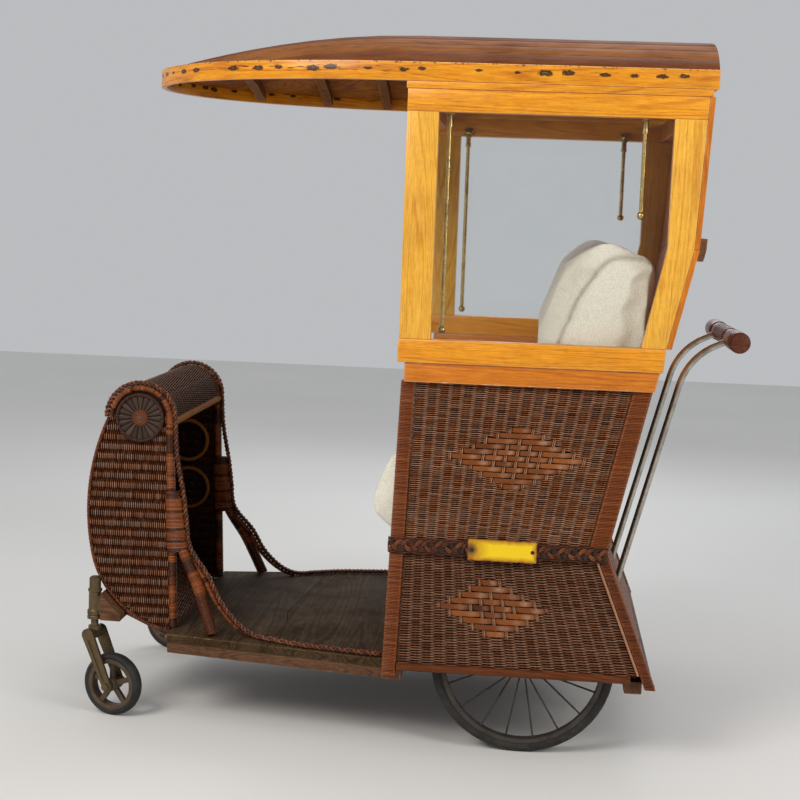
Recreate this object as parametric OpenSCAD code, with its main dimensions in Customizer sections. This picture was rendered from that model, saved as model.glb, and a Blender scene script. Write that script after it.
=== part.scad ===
// Boardwalk rolling chair: a two-seat push chair with a wicker body under a wooden canopy cab.
// The front is -X, the chair's left is -Y and the ground is Z = 0. Sizes in mm.

/* [Body] */
// Width over the cab's sill rails
body_w = 1010; // [960:2:1060]
// Height of the belt braid's middle
belt_z = 492; // [480:1:505]
// Height of the woven upper side above the belt
panel_h = 371; // [350:1:390]
// Height of the skirt's lower edge
skirt_z = 197; // [192:1:200]
// Front face of the cab
cab_x = -18; // [-30:1:-10]
// Rear edge of the woven side at the belt
belt_rear_x = 468; // [455:1:480]
// Rake of the back, degrees
rake = 12.46; // [11:0.02:13]
// Flare of the rear skirt, degrees
flare = 22.1; // [20:0.1:23]
// Lean of the body's front edge, degrees
front_lean = 1.8; // [1:0.1:2.4]
// Width of the wrapped front posts
front_post_w = 34; // [28:1:40]
// Width of the wrapped rear posts
rear_post_w = 46; // [38:1:50]
// Depth of the posts across the chair
post_t = 30; // [26:1:34]
// Thickness of a woven panel
weave_t = 12; // [8:1:14]
// Height of the stakes and reeds that stand out of a woven panel
relief = 3; // [2:0.5:4]
// Width of a stake
stake_w = 8; // [6:0.5:9]
// Stakes in an upper side
side_stakes = 18; // [16:1:20]
// Stakes in a side skirt
skirt_stakes = 20; // [18:1:22]
// Height of a flat reed in the diamonds
reed_h = 10.5; // [9:0.5:11]
// Pitch of the flat reeds
reed_pitch = 12.9; // [12.5:0.1:14]
// Height of a flat reed in the skirts' diamonds
skirt_reed_h = 12; // [11:0.5:13]
// Pitch of the flat reeds in the skirts
skirt_pitch = 14.8; // [14:0.1:15.5]
// Height of the belt braid
belt_h = 34; // [28:1:38]
// Thickness of the belt braid
belt_t = 12; // [8:1:12]
// Length of the enamel plate on the left side
plate_w = 156; // [140:1:170]
// Distance of the plate's middle before the body's rear edge
plate_fwd = 236; // [220:1:250]

/* [Cab] */
// Height of the moulding under the sill
ledge_h = 44; // [36:1:50]
// Height of the sill rail
sill_h = 53; // [45:1:60]
// Height of the window opening
window_h = 500; // [470:1:520]
// Height of the rail over the window
head_h = 49; // [42:1:54]
// Height of the moulding strip under the fascia
cornice_h = 16; // [12:1:20]
// Height of the roof's edge board
fascia_h = 41; // [36:1:46]
// Rise of the roof's crown over its edge
camber = 105; // [90:1:115]
// Width of the front stiles
stile_w = 70; // [60:1:78]
// Width of the rear stiles at the kink
rear_stile_w = 57; // [50:1:64]
// Thickness of the side frames
frame_t = 34; // [28:1:38]
// Height of the kink in the rear stiles above the sill
kink_h = 220; // [200:1:240]
// Lean of the rear stiles above the kink
kink_lean = 16; // [10:1:20]
// Thickness of the rear boards
board_t = 12; // [10:1:14]
// Length of the roof's nose in front of the cab
nose_len = 658; // [620:1:690]
// Rear overhang of the roof past the top rail
roof_over = 18; // [12:1:24]
// Thickness of the fascia and the roof boards
fascia_t = 14; // [12:1:16]
// Thickness of the roof boards
deck_t = 12; // [10:1:14]

/* [Cushions] */
// Height of the seat cushion
seat_pad = 205; // [190:1:215]
// Front of the back cushion before the rear edge at the belt
back_fwd = 128; // [118:1:136]
// Gap between the cushions and the posts
pad_gap = 8; // [4:1:14]

/* [Platform] */
// Height of the foot boards' top
foot_z = 214; // [210:1:218]
// Thickness of the foot boards
foot_t = 21; // [18:1:24]
// Depth of the frame under the foot boards
foot_frame = 25; // [22:1:28]
// Width of the platform past the dash posts, each side
foot_past = 67; // [55:1:80]
// Clearance between the platform's rear corners and the front posts
foot_gap = 6; // [2:0.5:12]
// Length of the platform
foot_len = 532; // [520:1:545]

/* [Dash] */
// Width between the dash's post centres
dash_w = 566; // [550:2:580]
// Stakes in the dash's front
dash_stakes = 16; // [14:1:18]
// Height of the roll's centre
roll_z = 726; // [710:1:740]
// Distance of the roll's centre in front of the platform's front edge
roll_fwd = 88; // [82:1:94]
// Radius of the roll's rim line
roll_r = 71; // [66:1:74]
// Radius of the wrapped rim and posts
rim_r = 11; // [9:1:12]
// Radius of the rosettes
rosette_r = 59; // [52:1:59]

/* [Running gear] */
// Diameter of the rear wheels
wheel_d = 426; // [416:2:430]
// Distance of the rear wheels' middle inside the sill rails' outer face
wheel_in = 100; // [93:1:109]
// Fore and aft place of the rear axle
axle_x = 289; // [275:1:300]
// Radius of the rear axle
axle_r = 11; // [9:0.5:12]
// Number of wire spokes in a rear wheel
spoke_n = 18; // [14:2:24]
// Radius of a wire spoke
spoke_r = 2.2; // [1.8:0.1:2.6]
// Diameter of the caster wheels
caster_d = 152; // [144:2:156]
// Distance of the caster stems in front of the platform
caster_fwd = 187.4; // [182.4:1:192.4]
// Distance of the caster stems outside the dash posts
caster_out = 25; // [23:1:31]
// Trail of the casters
trail = 55; // [45:1:60]
// Turn of the parked casters, degrees
caster_yaw = -17; // [-30:1:30]
// Radius of the caster stems
stem_r = 9; // [8:0.5:10]
// Radial play of a turning shaft
play = 0.06; // [0.03:0.01:0.1]
// Height of the chassis rails' top
rail_z = 168; // [164:1:168]
// Depth of the chassis rails
rail_h = 38; // [32:1:40]
// Width of the chassis rails
rail_w = 40; // [34:1:44]

/* [Handle] */
// Distance of the push rods from the chair's middle
rod_y = 135; // [120:1:150]
// Radius of the push rods
rod_r = 8; // [7:0.5:9]
// Place of the push rods' feet
rod_foot_x = 463; // [455:1:472]
// Height where the push rods start to bend
rod_bend_z = 848; // [835:1:860]
// Radius of the bend
rod_bend_r = 150; // [140:1:160]
// Length of the grip
grip_len = 550; // [500:2:580]
// Radius of the grip
grip_r = 25; // [22:0.5:27]

/* [Hidden] */
$fn = 64;
half = body_w / 2;
frame_y = half - 4;
body_y = half - 14;
post_in = body_y - post_t;
foot_front_w = dash_w + 2 * foot_past;
foot_rear_w = 2 * (post_in - foot_gap);
panel_y = body_y - 4;
panel_top = belt_z + panel_h;
deck_top = belt_z + 9;
sill_z = panel_top + ledge_h;
glass_z = sill_z + sill_h;
head_z = glass_z + window_h;
cornice_z = head_z + head_h;
fascia_z = cornice_z + cornice_h;
edge_z = fascia_z + fascia_h;
kink_z = glass_z + kink_h;
kink_x = belt_rear_x + tan(rake) * (kink_z - belt_z);
foot_bottom = rail_z;
post_foot = skirt_z - 11;
rail_r = 10;
panel_low = skirt_z + 2 * rail_r;
deck_w = half - fascia_t;
deck_a = nose_len - fascia_t;
roof_rad = (deck_w * deck_w + camber * camber) / (2 * camber);
roof_rear = rear_x(cornice_z) + roof_over;
foot_x = front_x(post_foot) - 0.3;
foot_front = foot_x - foot_len;
dash_y = dash_w / 2;
roll_x = foot_front - roll_fwd;
post_foot_x = foot_front + 2;
front_low = [roll_x - 115, roll_z - 351];
belly = [roll_x - 130, roll_z - 228];
roll_front = [roll_x - roll_r - rim_r, roll_z];
toe_mid = [roll_x - 57, foot_z + 58];
toe_end = [foot_front - 12, foot_z - 14];
caster_x = foot_front - caster_fwd;
caster_y = dash_y + caster_out;
crown_z = caster_d + 44;
socket_z = crown_z + 36;
bolster_x = caster_x + stem_r + 9.3;
bolster_w = 56;
wheel_r = wheel_d / 2;
wheel_y = half - wheel_in;
caster_r = caster_d / 2;
rod_slope = 14.33;
rod_end = 25;
bend_x = rod_foot_x + tan(rod_slope) * (rod_bend_z - rail_z);
bend_end = [
    bend_x + rod_bend_r * (cos(rod_slope) - sin(rod_end)),
    rod_bend_z + rod_bend_r * (cos(rod_end) - sin(rod_slope))
];
grip_x = bend_end[0] + 40;
grip_z = bend_end[1] + 40 * tan(rod_end);

// Front and rear lines of the body at a height
function front_x(z) = cab_x + 6 + tan(front_lean) * (z - panel_top);
function rear_x(z) =
    z > kink_z ? kink_x + kink_lean * (z - kink_z) / (cornice_z - kink_z)
    : z > belt_z ? belt_rear_x + tan(rake) * (z - belt_z)
    : belt_rear_x + tan(flare) * (belt_z - z);

// Half width of the roof boards and their height at a place
function nose_u(x) = max(0, min(1, (cab_x - x) / deck_a));
function deck_half(x) = deck_w * sqrt(1 - pow(nose_u(x), 2));
function deck_mid(x) = edge_z - sqrt(pow(roof_rad, 2) - pow(deck_half(x), 2));
function deck_nose(y) = cab_x - (deck_a - 0.5) * sqrt(max(0, 1 - pow(y / deck_w, 2)));
function deck_rear(y) = roof_rear + 17 * (1 - pow(y / deck_w, 2));

// Half width of the platform at a place
function foot_half(x) =
    foot_front_w / 2 + (foot_rear_w - foot_front_w) / 2 * (x - foot_front) / foot_len;

// Centre of the circle through three points, and points on its arc moved inward
function circle_mid(a, b, c) =
    let (
        d = 2 * (a[0] * (b[1] - c[1]) + b[0] * (c[1] - a[1]) + c[0] * (a[1] - b[1])),
        qa = a * a,
        qb = b * b,
        qc = c * c
    )
    [
        (qa * (b[1] - c[1]) + qb * (c[1] - a[1]) + qc * (a[1] - b[1])) / d,
        (qa * (c[0] - b[0]) + qb * (a[0] - c[0]) + qc * (b[0] - a[0])) / d
    ];
function heading(p) = let (t = atan2(p[1], p[0])) t < 0 ? t + 360 : t;
function arc(a, b, c, n, inset = 0) =
    let (
        m = circle_mid(a, b, c),
        r = norm(a - m) - inset,
        t0 = heading(a - m),
        t1 = heading(c - m)
    )
    [for (i = [0:n]) let (t = t0 + (t1 - t0) * i / n) m + r * [cos(t), sin(t)]];

// Dash outline from the roll's front down the belly and under the toes
function dash_curve(inset) = concat(
    [for (i = [0:9]) arc(roll_front, belly, front_low, 10, inset)[i]],
    arc(front_low, toe_mid, toe_end, 8, inset)
);

// Bent tube of n sides along a path that never runs along Y
function unit(v) = v / norm(v);
function way(p, i) = unit(p[min(i + 1, len(p) - 1)] - p[max(i - 1, 0)]);
function ring(p, i, r, n) =
    let (t = way(p, i), a = unit(cross([0, 1, 0], t)), b = cross(t, a))
    [for (k = [0:n - 1]) p[i] + r * (cos(360 * k / n) * a + sin(360 * k / n) * b)];
module tube(p, rs, n = 12) {
    m = len(p);
    polyhedron(
        [for (i = [0:m - 1]) each ring(p, i, rs[i], n)],
        concat(
            [[for (k = [0:n - 1]) k]],
            [[for (k = [0:n - 1]) m * n - 1 - k]],
            [for (i = [0:m - 2], k = [0:n - 1])
                [i * n + k, (i + 1) * n + k, i * n + (k + 1) % n]],
            [for (i = [0:m - 2], k = [0:n - 1])
                [(i + 1) * n + k, (i + 1) * n + (k + 1) % n, i * n + (k + 1) % n]]
        )
    );
}

// Side outline drawn in X and Z and run across the chair
module across(y0, y1) {
    translate([0, y1, 0]) rotate([90, 0, 0]) linear_extrude(y1 - y0) children();
}
module both() {
    children();
    mirror([0, 1, 0]) children();
}

// Four-sided outline between two heights with a front and a rear line
module band(z0, z1, f0, r0, f1, r1) {
    polygon([[f0, z0], [r0, z0], [r1, z1], [f1, z1]]);
}

module corner_posts() {
    color("saddlebrown") both() {
        across(post_in, body_y) band(
            post_foot, panel_top,
            front_x(post_foot), front_x(post_foot) + front_post_w,
            front_x(panel_top), front_x(panel_top) + front_post_w
        );
        across(post_in, body_y) polygon([
            [rear_x(post_foot) - rear_post_w, post_foot],
            [rear_x(post_foot), post_foot],
            [rear_x(belt_z), belt_z],
            [rear_x(panel_top), panel_top],
            [rear_x(panel_top) - rear_post_w, panel_top],
            [rear_x(belt_z) - rear_post_w, belt_z]
        ]);
    }
}

// Flat reeds of a diamond by row from its tip to its middle: the stakes that each one runs between
diamond = [
    [[-1, 1]],
    [[-2, 2]],
    [[-3, 0], [0, 3]],
    [[-4, -1], [-1, 1], [1, 4]],
    [[-5, -2], [-2, 0], [0, 2], [2, 5]],
    [[-6, -3], [-3, -1], [-1, 1], [1, 3], [3, 6]]
];
// Place of stake k of n at a height in a panel with edge lines e = [low, high, front, rear, front, rear]
function stake_x(e, k, n, z) =
    let (v = (z - e[0]) / (e[1] - e[0]), f = e[2] + (e[4] - e[2]) * v, r = e[3] + (e[5] - e[3]) * v)
    f + (r - f) * (k + 0.5) / n;
module stake_band(e, n, z0, z1, k0, in0, k1, in1) {
    band(
        z0, z1,
        stake_x(e, k0, n, z0) + in0, stake_x(e, k1, n, z0) - in1,
        stake_x(e, k0, n, z1) + in0, stake_x(e, k1, n, z1) - in1
    );
}
// Woven side: the sheet, its fanned stakes and a diamond of flat reeds around stake c
module woven_side(e, n, c, mid_z, rows, pitch, h) {
    gap = stake_w / 2 + 1;
    across(panel_y - weave_t, panel_y - relief) band(e[0], e[1], e[2], e[3], e[4], e[5]);
    across(panel_y - relief - 0.5, panel_y - 1) for (k = [0:n - 1])
        stake_band(e, n, e[0] + 0.5, e[1] - 0.5, k, -stake_w / 2, k, -stake_w / 2);
    across(panel_y - relief - 1.2, panel_y + 1) for (i = [-rows:rows], s = diamond[rows - abs(i)]) {
        z = mid_z + i * pitch;
        stake_band(e, n, z - h / 2, z + h / 2, c + s[0], gap, c + s[1], gap);
    }
}

module side_panels() {
    e = [
        belt_z, panel_top,
        front_x(belt_z) + front_post_w, rear_x(belt_z) - rear_post_w,
        front_x(panel_top) + front_post_w, rear_x(panel_top) - rear_post_w
    ];
    mid = floor(side_stakes / 2);
    color("sienna") both() woven_side(e, side_stakes, mid, belt_z + 0.56 * panel_h, 5, reed_pitch, reed_h);
}

module side_skirts() {
    e = [
        panel_low, belt_z,
        front_x(panel_low) + front_post_w, rear_x(panel_low) - rear_post_w,
        front_x(belt_z) + front_post_w, rear_x(belt_z) - rear_post_w
    ];
    mid = floor(skirt_stakes / 2) - 2;
    mid_z = (panel_low + belt_z) / 2;
    color("sienna") both() woven_side(e, skirt_stakes, mid, mid_z, 4, skirt_pitch, skirt_reed_h);
}

module back_panel() {
    color("sienna") across(-post_in, post_in) band(
        belt_z, panel_top,
        rear_x(belt_z) - 4 - weave_t, rear_x(belt_z) - 4,
        rear_x(panel_top) - 4 - weave_t, rear_x(panel_top) - 4
    );
}

module back_skirt() {
    color("sienna") difference() {
        across(-post_in, post_in) band(
            panel_low, belt_z,
            rear_x(panel_low) - 4 - weave_t, rear_x(panel_low) - 4,
            rear_x(belt_z) - 4 - weave_t, rear_x(belt_z) - 4
        );
        both() rod_line(rod_r + 1.5);
    }
}

module front_apron() {
    color("sienna") across(-post_in, post_in) band(
        foot_z, belt_z - 9,
        front_x(foot_z) + 6, front_x(foot_z) + 6 + weave_t,
        front_x(belt_z - 9) + 6, front_x(belt_z - 9) + 6 + weave_t
    );
}

// Round rail with a flat top under a woven panel
module rail_section() {
    circle(rail_r);
    translate([-rail_r, 0]) square([2 * rail_r, rail_r]);
}

module bottom_rails() {
    x0 = front_x(skirt_z) + front_post_w + 0.5;
    x1 = rear_x(panel_low) - rear_post_w - 0.5;
    color("peru") {
        both() translate([x0, panel_y - weave_t / 2, skirt_z + rail_r])
            rotate([90, 0, 90]) linear_extrude(x1 - x0) rail_section();
        translate([rear_x(panel_low) - 4 - weave_t / 2, post_in - 0.5, skirt_z + rail_r])
            rotate([90, 0, 0]) linear_extrude(2 * post_in - 1) rail_section();
    }
}

module belt_braids() {
    color("peru") both() across(body_y, body_y + belt_t) band(
        belt_z - belt_h / 2, belt_z + belt_h / 2,
        front_x(belt_z), rear_x(belt_z), front_x(belt_z), rear_x(belt_z)
    );
}

module name_plate() {
    color("gold") across(-body_y - belt_t - 2, -body_y - belt_t)
        translate([belt_rear_x - plate_fwd, belt_z]) square([plate_w, belt_h + 16], center = true);
}

module seat_deck() {
    color("peru") across(-post_in, post_in) band(
        belt_z - 9, deck_top,
        front_x(belt_z - 9), rear_x(belt_z) - 6 - weave_t - 2,
        front_x(belt_z - 9), rear_x(belt_z) - 6 - weave_t - 2
    );
}

module seat_cushion() {
    z0 = deck_top + 0.3;
    rear = belt_rear_x - back_fwd - 66;
    color("linen") across(-post_in + pad_gap, post_in - pad_gap) hull() {
        translate([cab_x + 6, z0 + seat_pad - 46]) circle(46);
        translate([cab_x - 20, z0 + 84]) circle(48);
        translate([cab_x + 6, z0 + 40]) circle(40);
        translate([rear, z0 + seat_pad - 40]) circle(40);
        translate([rear, z0 + 40]) circle(40);
    }
}

module back_cushion() {
    z0 = deck_top + 0.3;
    front = belt_rear_x - back_fwd;
    color("linen") across(-post_in + pad_gap, post_in - pad_gap) hull() {
        translate([front + 42, z0 + 42]) circle(42);
        translate([front + 19, glass_z - 5]) circle(62);
        translate([front + 98, glass_z + 176]) circle(70);
        translate([rear_x(glass_z + 180) - 111, glass_z + 180]) circle(44);
        translate([rear_x(sill_z) - 76, sill_z]) circle(40);
        translate([rear_x(z0 + 40) - 74, z0 + 40]) circle(40);
    }
}

module ledges() {
    color("goldenrod") {
        both() across(frame_y - 2 - frame_t, frame_y - 2) band(
            panel_top, sill_z, cab_x + 14, rear_x(panel_top) + 2, cab_x + 14, rear_x(sill_z) + 2
        );
        across(-frame_y + 2.4 + frame_t, frame_y - 2.4 - frame_t) band(
            panel_top, sill_z,
            rear_x(panel_top) - frame_t, rear_x(panel_top),
            rear_x(sill_z) - frame_t, rear_x(sill_z)
        );
    }
}

module sill_rails() {
    color("goldenrod") {
        both() across(half - frame_t - 4, half) band(
            sill_z, glass_z, cab_x - 2, rear_x(sill_z) + 8, cab_x - 2, rear_x(glass_z)
        );
        across(-half + frame_t + 4.4, half - frame_t - 4.4) band(
            sill_z, glass_z,
            rear_x(sill_z) - frame_t, rear_x(sill_z),
            rear_x(glass_z) - frame_t, rear_x(glass_z)
        );
    }
}

module window_stiles() {
    color("gold") both() {
        across(frame_y - frame_t, frame_y)
            translate([cab_x, glass_z]) square([stile_w, window_h]);
        across(frame_y - frame_t, frame_y) polygon([
            [rear_x(glass_z), glass_z],
            [rear_x(kink_z), kink_z],
            [rear_x(head_z), head_z],
            [rear_x(head_z) - stile_w, head_z],
            [rear_x(kink_z) - rear_stile_w, kink_z],
            [rear_x(glass_z) - rear_stile_w + 3, glass_z]
        ]);
    }
}

module top_rails() {
    color("goldenrod") both() across(frame_y - frame_t, frame_y) band(
        head_z, cornice_z, cab_x, rear_x(head_z), cab_x, rear_x(cornice_z)
    );
}

module cross_heads() {
    in_y = frame_y - frame_t - 0.2;
    color("goldenrod") {
        across(-in_y, in_y) translate([cab_x + 8, head_z + 12]) square([30, head_h - 12]);
        across(-in_y, in_y) band(
            head_z, cornice_z,
            rear_x(head_z) - 30, rear_x(head_z), rear_x(cornice_z) - 30, rear_x(cornice_z)
        );
    }
}

module cornices() {
    color("gold") both() across(frame_y - frame_t, half - 1)
        translate([cab_x - 3, cornice_z]) square([roof_rear - 8 - cab_x, cornice_h]);
}

module side_glass() {
    color("lightcyan") both() across(frame_y - frame_t / 2 - 2, frame_y - frame_t / 2 + 2) polygon([
        [cab_x + stile_w, glass_z],
        [rear_x(glass_z) - rear_stile_w + 3, glass_z],
        [rear_x(kink_z) - rear_stile_w, kink_z],
        [rear_x(head_z) - stile_w, head_z],
        [cab_x + stile_w, head_z]
    ]);
}

module rear_boards() {
    n = 11;
    step = 2 * frame_y / n;
    tiers = [[glass_z, kink_z - 0.4], [kink_z + 0.4, cornice_z]];
    color("peru") for (i = [0:n - 1], t = tiers)
        across(-frame_y + i * step + 0.4, -frame_y + (i + 1) * step - 0.4) band(
            t[0], t[1],
            rear_x(t[0]) + 0.3, rear_x(t[0]) + board_t,
            rear_x(t[1]) + 0.3, rear_x(t[1]) + board_t
        );
}

module rear_batten() {
    color("tan") across(-frame_y - 1, frame_y + 1) polygon([
        [rear_x(kink_z - 25) + board_t, kink_z - 25],
        [rear_x(kink_z - 25) + board_t + 14, kink_z - 25],
        [rear_x(kink_z) + board_t + 14, kink_z],
        [rear_x(kink_z + 25) + board_t + 14, kink_z + 25],
        [rear_x(kink_z + 25) + board_t, kink_z + 25],
        [rear_x(kink_z) + board_t, kink_z]
    ]);
}

// Plan of the roof's edge, set in by a distance
function roof_plan(inset) = concat(
    [[roof_rear, -half + inset]],
    [for (i = [0:72]) let (t = -90 + 180 * i / 72)
        [cab_x - (nose_len - inset) * cos(t), (half - inset) * sin(t)]],
    [[roof_rear, half - inset]]
);

module roof_fascia() {
    color("gold") translate([0, 0, fascia_z]) linear_extrude(fascia_h) difference() {
        polygon(roof_plan(0));
        polygon(roof_plan(fascia_t - 0.2));
    }
}

// Lengthwise roof boards, bent down over the nose
plank_n = 13;
module plank(y0, y1) {
    m = 4;
    n = 16;
    ys = [for (j = [0:m]) y0 + (y1 - y0) * j / m];
    function px(y, i) = deck_nose(y) + (deck_rear(y) - deck_nose(y)) * pow(i / n, 1.6);
    function pz(x, y, t) = deck_mid(x) + sqrt(pow(roof_rad - t, 2) - y * y);
    top = [for (i = [0:n], j = [0:m]) let (x = px(ys[j], i)) [x, ys[j], pz(x, ys[j], 0)]];
    low = [for (i = [0:n], j = [0:m]) let (x = px(ys[j], i)) [x, ys[j], pz(x, ys[j], deck_t)]];
    w = m + 1;
    k = (n + 1) * w;
    polyhedron(concat(top, low), concat(
        [for (i = [0:n - 1], j = [0:m - 1]) [i * w + j, i * w + j + 1, (i + 1) * w + j]],
        [for (i = [0:n - 1], j = [0:m - 1]) [i * w + j + 1, (i + 1) * w + j + 1, (i + 1) * w + j]],
        [for (i = [0:n - 1], j = [0:m - 1]) [k + i * w + j, k + (i + 1) * w + j, k + i * w + j + 1]],
        [for (i = [0:n - 1], j = [0:m - 1])
            [k + i * w + j + 1, k + (i + 1) * w + j, k + (i + 1) * w + j + 1]],
        [for (i = [0:n - 1]) [i * w, (i + 1) * w, k + i * w]],
        [for (i = [0:n - 1]) [(i + 1) * w, k + (i + 1) * w, k + i * w]],
        [for (i = [0:n - 1]) [i * w + m, k + i * w + m, (i + 1) * w + m]],
        [for (i = [0:n - 1]) [(i + 1) * w + m, k + i * w + m, k + (i + 1) * w + m]],
        [for (j = [0:m - 1]) [j, k + j, j + 1]],
        [for (j = [0:m - 1]) [j + 1, k + j, k + j + 1]],
        [for (j = [0:m - 1]) [n * w + j, n * w + j + 1, k + n * w + j]],
        [for (j = [0:m - 1]) [n * w + j + 1, k + n * w + j + 1, k + n * w + j]]
    ));
}
module roof_deck() {
    wide = deck_w - 0.5;
    step = 2 * wide / plank_n;
    color("peru") for (i = [0:plank_n - 1])
        plank(-wide + i * step + 0.5, -wide + (i + 1) * step - 0.5);
}

// Arched bow under the roof boards at a place
module bow(x, t) {
    w = min(deck_half(x), deck_half(x + t)) - 4;
    mid = min(deck_mid(x), deck_mid(x + t));
    translate([x, 0, mid]) rotate([90, 0, 90]) linear_extrude(t) intersection() {
        difference() {
            circle(roof_rad - deck_t - 0.7, $fn = 256);
            circle(roof_rad - deck_t - 26, $fn = 256);
        }
        translate([-w, 0]) square([2 * w, roof_rad]);
    }
}
// Places of the bows: three in the nose and five over the cab
bow_x = concat(
    [for (k = [0.7325, 0.474, 0.231]) cab_x - nose_len * k],
    [for (i = [0:4]) cab_x + 12 + (roof_rear - cab_x - 51) * i / 4]
);
module roof_bows() {
    color("sienna") for (x = bow_x) bow(x, 24);
}

module roof_end() {
    w = deck_w - 1;
    color("gold") translate([roof_rear - fascia_t - 1, 0, deck_mid(0)]) rotate([90, 0, 90])
        linear_extrude(fascia_t) intersection() {
            circle(roof_rad - deck_t - 0.4, $fn = 256);
            translate([-w, fascia_z - deck_mid(0)]) square([2 * w, roof_rad]);
        }
}

module shade_rods() {
    y = frame_y - frame_t - 14;
    rods = [
        [cab_x + stile_w + 22, glass_z + 20],
        [rear_x(head_z) - stile_w - 60, kink_z + 70]
    ];
    color("khaki") both() for (r = rods) {
        translate([r[0], y, r[1]]) cylinder(h = head_z + 10 - r[1], r = 5);
        translate([r[0], y, head_z + 10]) sphere(9);
        translate([r[0], y, r[1]]) sphere(9);
        translate([r[0], y, head_z + 10]) rotate([-90, 0, 0]) cylinder(h = 14, r = 5);
    }
}

module foot_boards(front) {
    joint = [[0.523, -1], [0.501, -0.45], [0.531, -0.15], [0.448, 1]];
    line = [for (p = joint) let (x = foot_x - p[0] * foot_len) [x, p[1] * foot_half(x)]];
    rest = front
        ? [[foot_front, foot_front_w / 2], [foot_front, -foot_front_w / 2]]
        : [[foot_x, foot_rear_w / 2], [foot_x, -foot_rear_w / 2]];
    gap = front ? -0.6 : 0.6;
    color("tan") translate([0, 0, foot_z - foot_t]) linear_extrude(foot_t)
        polygon(concat([for (p = line) p + [gap, 0]], rest));
}
module foot_board_front() {
    foot_boards(true);
}
module foot_board_rear() {
    foot_boards(false);
}

module platform_frame() {
    w = 32;
    z0 = foot_z - foot_t - foot_frame;
    bars = [foot_front + 2, foot_front + foot_len / 2 - 16, foot_x - w];
    color("tan") {
        both() translate([0, 0, z0]) linear_extrude(foot_frame) polygon([
            [foot_front + 2, foot_half(foot_front + 2) - 2],
            [foot_x, foot_half(foot_x) - 2],
            [foot_x, foot_half(foot_x) - 2 - w],
            [foot_front + 2, foot_half(foot_front + 2) - 2 - w]
        ]);
        for (x = bars) translate([0, 0, z0]) linear_extrude(foot_frame) polygon([
            [x, -foot_half(x) + w + 3],
            [x + w, -foot_half(x + w) + w + 3],
            [x + w, foot_half(x + w) - w - 3],
            [x, foot_half(x) - w - 3]
        ]);
    }
}

module chassis_rails() {
    rear = rear_x(skirt_z) - 20;
    color("sienna") both() across(rod_y - rail_w / 2, rod_y + rail_w / 2) polygon([
        [rear, rail_z - rail_h],
        [rear, rail_z],
        [foot_front - 1, rail_z],
        [foot_front - 60, socket_z - 31],
        [bolster_x + 47, socket_z - 1],
        [bolster_x + 10, socket_z - 1],
        [bolster_x + 10, socket_z - 24],
        [foot_front - 40, rail_z - rail_h + 24],
        [foot_front + 30, rail_z - rail_h]
    ]);
}

module cross_sills() {
    h = foot_z - rail_z;
    color("peru") {
        translate([foot_x + 0.3, -post_in, rail_z]) cube([44, 2 * post_in, h]);
        translate([rear_x(skirt_z) - 66, -post_in, rail_z]) cube([40, 2 * post_in, skirt_z - rail_z]);
    }
}

module front_bolster() {
    low = arc(front_low, toe_mid, toe_end, 16, -1);
    top = [for (p = low) if (p[0] > bolster_x && p[0] < bolster_x + bolster_w) p];
    color("tan") across(-caster_y - 20, caster_y + 20) polygon(concat(
        [[bolster_x, socket_z]],
        [[bolster_x, top[0][1]]],
        top,
        [[top[len(top) - 1][0], socket_z - 0.7]]
    ));
}

module caster_sockets() {
    color("darkkhaki") both() translate([caster_x, caster_y, 0]) difference() {
        union() {
            translate([0, 0, socket_z]) rotate_extrude() polygon([
                [0, 0], [stem_r + 9, 0], [stem_r + 9, 7], [stem_r + 7, 9], [stem_r + 9, 11],
                [stem_r + 9, 20], [stem_r + 6, 24], [stem_r + 6, 66], [stem_r + 8, 68],
                [stem_r + 8, 73], [stem_r + 5, 75], [stem_r + 5, 100], [stem_r, 104], [0, 104]
            ]);
            translate([0, -12, socket_z + 12]) cube([bolster_x - caster_x, 24, 46]);
        }
        translate([0, 0, crown_z + 4]) cylinder(h = 128, r = stem_r + play);
    }
}

// Caster parts in a frame with the stem on Z, the wheel trailing along +X
module caster_place(side) {
    translate([caster_x, side * caster_y, 0]) rotate([0, 0, caster_yaw]) children();
}
arm_y = 25;
arm_t = 7;
// Fluted arm of a fork, from the bridge to the pin
module fork_arm(r0, r1) {
    hull() {
        translate([0, crown_z]) circle(r0);
        translate([trail, caster_r]) circle(r1);
    }
}
module fork() {
    translate([0, 0, crown_z + 4]) cylinder(h = 126, r = stem_r);
    translate([0, 0, crown_z + 8]) cylinder(h = 10, r = stem_r + 6);
    translate([0, 0, crown_z]) rotate([90, 0, 0])
        cylinder(h = 2 * (arm_y + arm_t) - 1, r = 14, center = true);
    for (s = [-1, 1]) {
        difference() {
            translate([0, s * (arm_y + arm_t / 2), 0]) rotate([90, 0, 0])
                linear_extrude(arm_t, center = true) fork_arm(15.5, 11.5);
            translate([0, s * (arm_y + arm_t), 0]) rotate([90, 0, 0])
                linear_extrude(5, center = true) fork_arm(5, 4);
        }
        translate([trail, s * (arm_y + arm_t / 2), caster_r]) rotate([90, 0, 0])
            cylinder(h = arm_t + 1, r = 13, center = true);
        translate([trail, s * (arm_y + arm_t + 4), caster_r]) rotate([90, 0, 0])
            cylinder(h = 8, r = 9, center = true);
    }
    translate([trail, 0, caster_r]) rotate([90, 0, 0])
        cylinder(h = 2 * arm_y + 2, r = 6, center = true);
}
module caster_wheel() {
    translate([trail, 0, caster_r]) rotate([90, 0, 0]) difference() {
        union() {
            difference() {
                cylinder(h = 26, r = caster_r - 14, center = true);
                cylinder(h = 30, r = caster_r - 24, center = true);
            }
            cylinder(h = 38, r = 16, center = true);
            for (a = [0:72:288]) rotate([0, 0, a + 20]) translate([10, -6, -5])
                cube([caster_r - 30, 12, 10]);
        }
        cylinder(h = 50, r = 6 + play, center = true);
    }
}
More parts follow.
